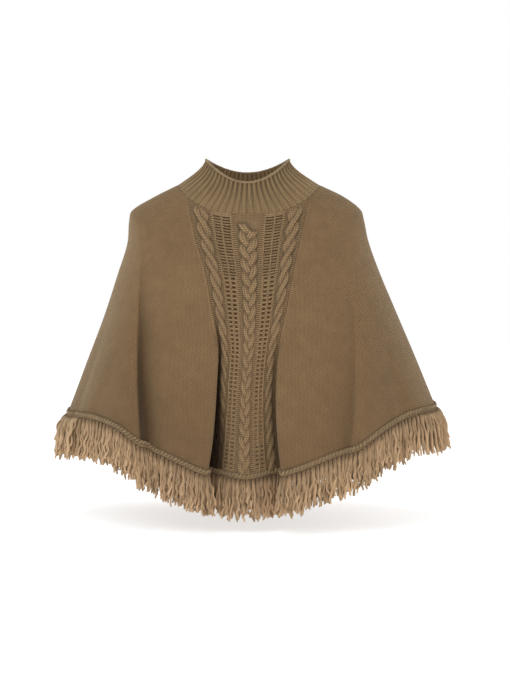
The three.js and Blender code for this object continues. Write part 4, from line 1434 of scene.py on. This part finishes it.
@dataclass
class PlainPanels:
    """The two plain fronts, which fold over the cabled panel, and the back."""

    rows: int = 150
    columns: int = 170
    pleat_steps: tuple[int, int, int] = (10, 14, 8)
    back_columns: int = 230
    thickness: float = 2.2
    seam_height: float = 1.3
    seam_width: float = 1.7
    seam_place: float = 2.4
    seam_light: tuple[float, float, float] = (0.22, 2.8, 1.6)  # painted highlight by the seam: how much, how far in and how wide
    seam_shade: tuple[float, float] = (0.4, 1.4)
    back_seam_shade: tuple[float, float] = (0.35, 1.6)
    edge_depth: float = 0.6
    edge_width: float = 1.5
    light: float = 0.88
    reach: tuple[float, float] = (0.002, 0.978)  # the places down where the cloth starts and ends
    pleat_shade: dict[Side, float] = field(default_factory=lambda: {Side.LEFT: 0.97, Side.RIGHT: 0.7})
    lower_shade: dict[Side, float] = field(default_factory=lambda: {Side.LEFT: 0.18, Side.RIGHT: 0.12})

    def dress(self, form: Form, finishes: Finishes) -> None:
        """Builds the three panels.

        Args:
            form: The garment's form.
            finishes: Its materials.
        """
        share = np.linspace(*self.reach, self.rows)
        (lit, lit_place, lit_width), (dark, dark_width) = self.seam_light, self.seam_shade
        for side in (Side.RIGHT, Side.LEFT):
            grid = form.plain_front(side, share, self.columns, self.pleat_steps)
            lengths = arc_lengths(grid.points)
            from_seam = lengths[:, -1:] - lengths
            relief = self.seam_height * bell(from_seam - self.seam_place, self.seam_width)
            relief -= self.edge_depth * bell(lengths, self.edge_width)
            # Painted light and shade: dark in the pleat's valley by the seam, a highlight on the seam's
            # ridge, shade at the feet of crisp folds, darker towards the hem, and dark on the part turned
            # back into the pleat
            tone = self.light - dark * bell(from_seam, dark_width)
            tone = tone + lit * bell(from_seam - lit_place, lit_width)
            tone = tone * form.fold_shade(Face.FRONT, side, grid.points, share)
            tone = tone * (1 - self.lower_shade[side] * ease(0.35, 0.95, share[:, None]))
            inside = ease(3, 12, np.arange(tone.shape[1]) - self.columns)[None, :]
            tone = tone * (1 - self.pleat_shade[side] * inside * ease(0.45, 0.75, share[:, None]))
            if side is Side.LEFT:
                grid, relief, tone = grid.flipped(), relief[:, ::-1], tone[:, ::-1]
            shell = Shell(f"plain_front_{side.value}", grid, relief, self.thickness, marks={"tone": tone})
            front = shell.build(finishes.plain)
            settle(front, "stockinette", f"front_{side.value}")
            shell.flat_size()

        points = form.back(share, self.back_columns)
        lengths = arc_lengths(points)
        middle = lengths[:, self.back_columns // 2][:, None]
        v = np.broadcast_to(share[:, None] * form.length, lengths.shape)
        edge = np.minimum(lengths, lengths[:, -1:] - lengths)
        relief = -self.edge_depth * bell(edge, self.edge_width)
        grid = Grid(points, np.stack([lengths - middle, v], axis=-1))
        # Painted shade at the feet of the back's crisp folds; the cloth is also darker along the side seams
        left = form.fold_shade(Face.BACK, Side.LEFT, points, share)
        right = form.fold_shade(Face.BACK, Side.RIGHT, points, share)
        dark, dark_width = self.back_seam_shade
        tone = np.where(points[..., 0] < 0, left, right) * (1 - dark * bell(edge, dark_width))
        shell = Shell("plain_back", grid, relief, self.thickness, marks={"tone": tone})
        back = shell.build(finishes.plain)
        settle(back, "stockinette", "back")
        shell.flat_size()


@dataclass
class Hem:
    """The bound lower edge and its fringe."""

    band_share: float = 0.022
    front_columns: int = 170
    pleat_steps: tuple[int, int, int] = (12, 18, 10)
    panel_columns: int = 60
    back_columns: int = 300
    stitch_pitch: float = 6.6
    root_pitch: float = 8.4
    strands_per_root: dict[Face, int] = field(default_factory=lambda: {Face.FRONT: 9, Face.BACK: 7})
    strand_length: float = 70.0
    yarn_radius: float = 2.0
    strand_points: int = 12
    strand_sides: int = 5
    plain_strands: int = 9
    looped_strands: int = 3
    arched_strands: int = 4
    arch: float = 11.0
    tuft_pitch: tuple[float, float] = (17.0, 34.0)
    half_width: float = 330.0
    wave_counts: tuple[float, float] = (1.9, 3.0)
    bows: tuple[tuple[float, float], ...] = ((3.2, 2.4), (1.8, 2.6))  # height and turn of a strand's bend
    root_light: tuple[float, float] = (0.24, 0.86)
    root_fade: tuple[float, float] = (0.03, 0.2)
    tip_light: float = 0.34
    first_tuft: tuple[float, float] = (4.0, 12.0)
    tuft_pull: tuple[float, float] = (0.15, 1.0)  # how much of its distance to the tuft a strand keeps
    tuft_scatter: float = 3.2
    tuft_shortening: float = 0.16
    root_scatter: float = 0.4
    leans: tuple[float, float, float] = (4.0, 2.0, 3.0)  # degrees: outwards, more at the sides, and scatter
    sides: tuple[float, float] = (0.72, 1.0)
    arched_sides: tuple[float, float] = (0.8, 1.0)
    arched_part: float = 0.85
    arched_spin: float = 0.3
    plain_spin: float = 3.1
    looped_part: float = 0.6
    thicknesses: tuple[float, float] = (0.85, 1.15)
    spreads: tuple[float, float] = (0.3, 1.5)  # between strands of a root, in the front layer and the other
    layers: tuple[float, float] = (1.0, -2.0)
    # Painted light and shade: the front layer of strands is made lighter and the rear one darker
    layer_painted_light: tuple[float, float] = (1.06, 0.6)
    lengths: tuple[float, float, float] = (0.66, 1.02, 1.12)
    tones: tuple[float, float] = (0.7, 1.22)
    # Places across the band's thickness: how far down the band and how far outwards
    profile: tuple[tuple[float, float], ...] = (
        (0.0, -0.6),
        (0.02, 0.2),
        (0.2, 0.7),
        (0.5, 1.1),
        (0.8, 0.9),
        (1.0, 0.2),
        (1.02, -1.6),
        (0.7, -2.9),
        (0.2, -2.9),
    )

    def edge(self, form: Form, face: Face, share: np.ndarray) -> np.ndarray:
        """Points of the lower part of the cloth.

        Args:
            form: The garment's form.
            face: Front or back.
            share: One place down for each row.

        Returns:
            Points by row and column.
        """
        if face is Face.BACK:
            return form.back(share, self.back_columns)
        right, left = (
            form.plain_front(side, share, self.front_columns, self.pleat_steps).points
            for side in (Side.RIGHT, Side.LEFT)
        )
        panel = form.panel(np.linspace(1, -1, self.panel_columns), share)
        return np.concatenate([right, panel[:, 1:-1], left[:, ::-1]], axis=1)

    def strands(self) -> list[bpy.types.Object]:
        """Differently waved strands of yarn: plain ones, looped ones, and ones that arch outwards first."""
        random = np.random.default_rng(SEED)
        shapes = []
        for k in range(self.plain_strands + self.looped_strands + self.arched_strands):
            t = np.linspace(0, 1, self.strand_points)
            phases = random.uniform(0, 2 * np.pi, 4)
            waves = random.uniform(*self.wave_counts)
            swell = np.clip(t * 2.5, 0, 1)
            x, y = (
                swell * ((1 + t) * np.sin(waves * 2 * np.pi * t + fine) + bow * np.sin(bend * t + broad))
                for (fine, broad), (bow, bend) in zip(phases.reshape(2, 2), self.bows)
            )
            path = np.stack([x - x[0], y - y[0], -self.strand_length * t], axis=-1)
            radii = np.full(len(t), self.yarn_radius)
            radii[0], radii[-1] = 0.8 * self.yarn_radius, 0.7 * self.yarn_radius
            if k >= self.plain_strands + self.looped_strands:
                path[:, 1] += self.arch * (1 - np.exp(-3.5 * t))
                path[:, 2] = -self.strand_length * (0.25 * t + 0.75 * t**1.6)
            elif k >= self.plain_strands:
                bend = np.linspace(0, np.pi, 5)[1:]
                loop = np.stack([3.2 * (1 - np.cos(bend)), 0 * bend, -4.0 * np.sin(bend)], axis=-1)
                path = np.concatenate([path[:-3], path[-4] + loop, path[-4:-3] + [[6.0, 0.5, 9.0]]])
                radii = np.append(radii[:-3], [0.85 * self.yarn_radius] * 5)
            down = np.linspace(0, 1, len(path))
            # Painted shade at the root, where the strands crowd under the band, and painted light towards the
            # tip
            light = mix(*self.root_light, ease(*self.root_fade, down))
            light = light + self.tip_light * ease(self.root_fade[1], 1.0, down)
            shapes.append(strand_shape(f"strand_{k:02d}", path, radii, self.strand_sides, light))
        return shapes

    def tufts(self, length: float, random: np.random.Generator) -> np.ndarray:
        """Picks the tufts that strands draw together in.

        Args:
            length: The length of the stretch of edge, in millimetres.
            random: What the places are drawn from.

        Returns:
            The tufts' middles, along the stretch.
        """
        middles = [random.uniform(*self.first_tuft)]
        while middles[-1] < length:
            middles.append(middles[-1] + random.uniform(*self.tuft_pitch))
        return np.array(middles)

    def fringe(
        self, face: Face, name: str, path: np.ndarray, outward: np.ndarray, finishes: Finishes, node: str
    ) -> bpy.types.Object:
        """Hangs strands along a stretch of the lower edge.

        Args:
            face: Front or back.
            name: The piece's name.
            path: The lower edge, in millimetres.
            outward: The level outward direction at every point of it.
            finishes: The garment's materials.
            node: The solid that it stands for.

        Returns:
            The new piece.
        """
        random = np.random.default_rng(SEED + len(name) + len(path))
        both = np.concatenate([path, outward], axis=1)
        spots, direction = place_along(both, self.root_pitch)
        count, each = len(spots), self.strands_per_root[face]
        gap = arc_lengths(path[None])[0][-1] / count
        spots, direction = np.repeat(spots, each, axis=0), np.repeat(direction, each, axis=0)
        number = np.tile(np.arange(each), count)
        along = np.repeat((np.arange(count) + 0.5) * gap, each)
        points, normal = spots[:, :3], spots[:, 3:]
        normal /= np.linalg.norm(normal, axis=1, keepdims=True)
        total = len(points)
        in_front = number % 2 == 0
        spread = np.where(in_front, *self.spreads)
        shift = (number - (each - 1) / 2) * spread
        shift = shift + random.uniform(-self.root_scatter, self.root_scatter, total)
        layer = np.where(in_front, *self.layers)
        points = points + normal * layer[:, None] + direction * shift[:, None]

        middles = self.tufts(gap * count, random)
        nearest = middles[np.abs(along[:, None] - middles[None, :]).argmin(axis=1)]
        target = nearest + (along - nearest) * random.uniform(*self.tuft_pull, total)
        target = target + random.normal(0, self.tuft_scatter, total)
        sway = (target - along - shift) / self.strand_length
        out = np.abs(points[:, 0]) / self.half_width
        everywhere, more, scatter = self.leans
        lean = np.radians(everywhere + more * ease(*self.sides, out) + random.normal(0, scatter, total))
        flat = direction * np.array([1.0, 1.0, 0.0])
        flat /= np.linalg.norm(flat, axis=1, keepdims=True)
        hang = np.array([0.0, 0.0, -1.0]) * np.cos(lean)[:, None] + normal * np.sin(lean)[:, None]
        hang = hang + flat * sway[:, None]
        arched = random.uniform(0, 1, total) < self.arched_part * ease(*self.arched_sides, out)
        spins = [random.uniform(-most, most, total) for most in (self.arched_spin, self.plain_spin)]
        spin = np.where(arched, *spins)
        turns = [
            tuple((Euler(t).to_matrix() @ Euler((0, 0, s)).to_matrix()).to_euler())
            for t, s in zip(turns_from(flat, -hang), spin)
        ]
        plain = random.integers(0, self.plain_strands + self.looped_strands, total)
        looped = (plain >= self.plain_strands) & (random.uniform(0, 1, total) < self.looped_part)
        plain = np.where(looped, plain - self.plain_strands, plain)
        first_arched = self.plain_strands + self.looped_strands
        choices = np.where(arched, first_arched + random.integers(0, self.arched_strands, total), plain)
        shorter = 1 - self.tuft_shortening * np.abs(along - nearest) / self.tuft_pitch[1]
        long = random.triangular(*self.lengths, total) * shorter
        sizes = np.stack([random.uniform(*self.thicknesses, total)] * 2 + [long], axis=1)
        # Random shades, with painted light on the front layer of strands and painted shade on the rear one
        tones = random.uniform(*self.tones, total) * np.where(in_front, *self.layer_painted_light)
        strewn = Scatter(name, finishes.fringe)
        piece = strewn.build(points, np.array(turns), self.strands(), choices, sizes, tones)
        settle(piece, "fringe_yarn", node)
        return piece

    def dress(self, form: Form, finishes: Finishes) -> None:
        """Builds the band, its overcast stitches and the fringe.

        Args:
            form: The garment's form.
            finishes: Its materials.
        """
        profile = np.array(self.profile)
        for face in (Face.FRONT, Face.BACK):
            rows = 1 - self.band_share + self.band_share * np.clip(profile[:, 0], 0, 1)
            levels = np.array([0.94, 1.0])
            base = self.edge(form, face, levels)
            normals = Grid(base, base[..., :2]).normals()
            columns = base.shape[1]
            middle_rows = self.edge(form, face, np.unique(rows))
            lookup = {round(float(level), 6): i for i, level in enumerate(np.unique(rows))}
            rings = []
            for (_, out), level in zip(profile, rows):
                row = middle_rows[lookup[round(float(level), 6)]]
                rings.append(row + normals[1] * out)
            tube = np.stack(rings, axis=0)
            count = len(profile)
            faces = []
            for k in range(count):
                n = (k + 1) % count
                here, there = (i * columns + np.arange(columns - 1) for i in (k, n))
                faces.append(np.stack([here, here + 1, there + 1, there], axis=1))
            faces = np.concatenate(faces).tolist()
            faces.append([k * columns for k in range(count)])
            faces.append([k * columns + columns - 1 for k in range(count)][::-1])
            along = arc_lengths(tube)
            around = np.broadcast_to((np.arange(count) * 2.4)[:, None], along.shape)
            cloth = np.stack([along, around], axis=-1)
            band = mesh_object(
                f"hem_binding_{face.value}", tube.reshape(-1, 3), faces, finishes.cable, cloth.reshape(-1, 2)
            )
            settle(band, "hem_band", f"hem_band_{face.value}")

            middle = (tube[3] + tube[2]) / 2
            spots, direction = place_along(np.concatenate([middle, normals[1]], axis=1), self.stitch_pitch)
            normal = spots[:, 3:]
            slanted = direction * 0.7 + np.cross(normal, direction) * 0.72
            stitches = Scatter(f"hem_overcast_{face.value}", finishes.trim).row(
                spots[:, :3] + 0.5 * normal,
                turns_from(slanted, normal),
                chain_stitch("hem_stitch", 8.6, 3.3, 3.4),
                np.random.default_rng(SEED),
            )
            settle(stitches, "hem_band")

            lower = (tube[5] + tube[6]) / 2
            level_out = normals[1] * np.array([1.0, 1.0, 0.0])
            if face is Face.FRONT:
                right_end = self.front_columns + sum(self.pleat_steps) - 1
                left_start = columns - 1 - right_end
                stretches = {
                    "right": slice(0, right_end + 1),
                    "middle": slice(right_end, left_start + 1),
                    "left": slice(left_start, columns),
                }
            else:
                half = columns // 2
                stretches = {"left": slice(0, half + 1), "right": slice(half, columns)}
            for name, part in stretches.items():
                self.fringe(
                    face,
                    f"yarn_fringe_{face.value}_{name}",
                    lower[part],
                    level_out[part],
                    finishes,
                    f"fringe_{face.value}_{name}",
                )


@dataclass(frozen=True)
class Lamp:
    """A square soft light, placed in metres, with its power in watts."""

    name: str
    place: tuple[float, float, float]
    power: float
    width: float
    colour: tuple[float, float, float] = WHITE


COOL = (0.9, 0.97, 1.0)
LAMPS = (
    Lamp("key", (-0.9, -1.45, 1.2), power=12.8, width=1.3, colour=COOL),
    Lamp("fill", (1.5, -1.9, 0.9), power=8.6, width=1.6),
    Lamp("top", (-0.4, -0.4, 2.0), power=8.5, width=1.0, colour=COOL),
    Lamp("edge_left", (-1.7, 1.9, 1.1), power=9.0, width=1.2),
    Lamp("edge_right", (1.7, 1.9, 1.1), power=12.0, width=1.2),
)


@dataclass
class Studio:
    """The pale floor, the soft light and the camera."""

    floor_z: float = -574.0
    floor_size: float = 9.0
    distance: float = 3.2
    elevation: float = 4.5
    frame_height: float = 1190.0
    aim: tuple[float, float, float] = (14.0, -60.0, -254.0)
    sensor: float = 36.0
    ambient: float = 0.36
    lit_point: tuple[float, float, float] = (0.0, 0.0, -0.25)  # in metres

    def build(self) -> None:
        """Builds the floor, world, lights and camera."""
        scene = bpy.context.scene
        scene.view_settings.view_transform = "Standard"
        size = self.floor_size / 2
        mesh = bpy.data.meshes.new("floor")
        corners = ((-1, -1), (1, -1), (1, 1), (-1, 1))
        mesh.from_pydata([(x * size, y * size, self.floor_z * MM) for x, y in corners], [], [(0, 1, 2, 3)])
        mesh.materials.append(FloorFinish().build())
        floor = bpy.data.objects.new("floor", mesh)
        scene.collection.objects.link(floor)

        world = bpy.data.worlds.new("studio")
        world.use_nodes = True
        background = world.node_tree.nodes["Background"]
        background.inputs["Color"].default_value = (*WHITE, 1.0)
        # The white background is seen at full strength and lights the cloth at part of it.
        seen = add_node(world.node_tree, "ShaderNodeLightPath").outputs["Is Camera Ray"]
        parts = {0: seen, 1: 1 - self.ambient, 2: self.ambient}
        strength = add_node(world.node_tree, "ShaderNodeMath", parts, operation="MULTIPLY_ADD")
        world.node_tree.links.new(strength.outputs[0], background.inputs["Strength"])
        scene.world = world

        for lamp in LAMPS:
            light = bpy.data.lights.new(lamp.name, "AREA")
            light.energy = lamp.power
            light.color = lamp.colour
            light.size = lamp.width
            holder = bpy.data.objects.new(lamp.name, light)
            holder.location = lamp.place
            aim = Vector(self.lit_point) - Vector(lamp.place)
            holder.rotation_euler = aim.to_track_quat("-Z", "Y").to_euler()
            scene.collection.objects.link(holder)

        camera = bpy.data.cameras.new("camera")
        camera.sensor_width = self.sensor
        camera.lens = self.sensor * self.distance / (self.frame_height * MM)
        eye = bpy.data.objects.new("camera", camera)
        target = Vector(self.aim) * MM
        tilt = math.radians(self.elevation)
        eye.location = target + Vector((0.0, -math.cos(tilt), math.sin(tilt))) * self.distance
        eye.rotation_euler = (target - eye.location).to_track_quat("-Z", "Y").to_euler()
        scene.collection.objects.link(eye)
        scene.camera = eye


def main() -> None:
    """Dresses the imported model, piece by piece."""
    logging.basicConfig(level=logging.INFO, format="%(name)s: %(message)s")
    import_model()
    form = Form()
    finishes = Finishes.make()
    Collar().dress(form, finishes)
    CabledPanel().dress(form, finishes)
    PlainPanels().dress(form, finishes)
    Hem().dress(form, finishes)
    Studio().build()


if __name__ == "__main__":
    main()
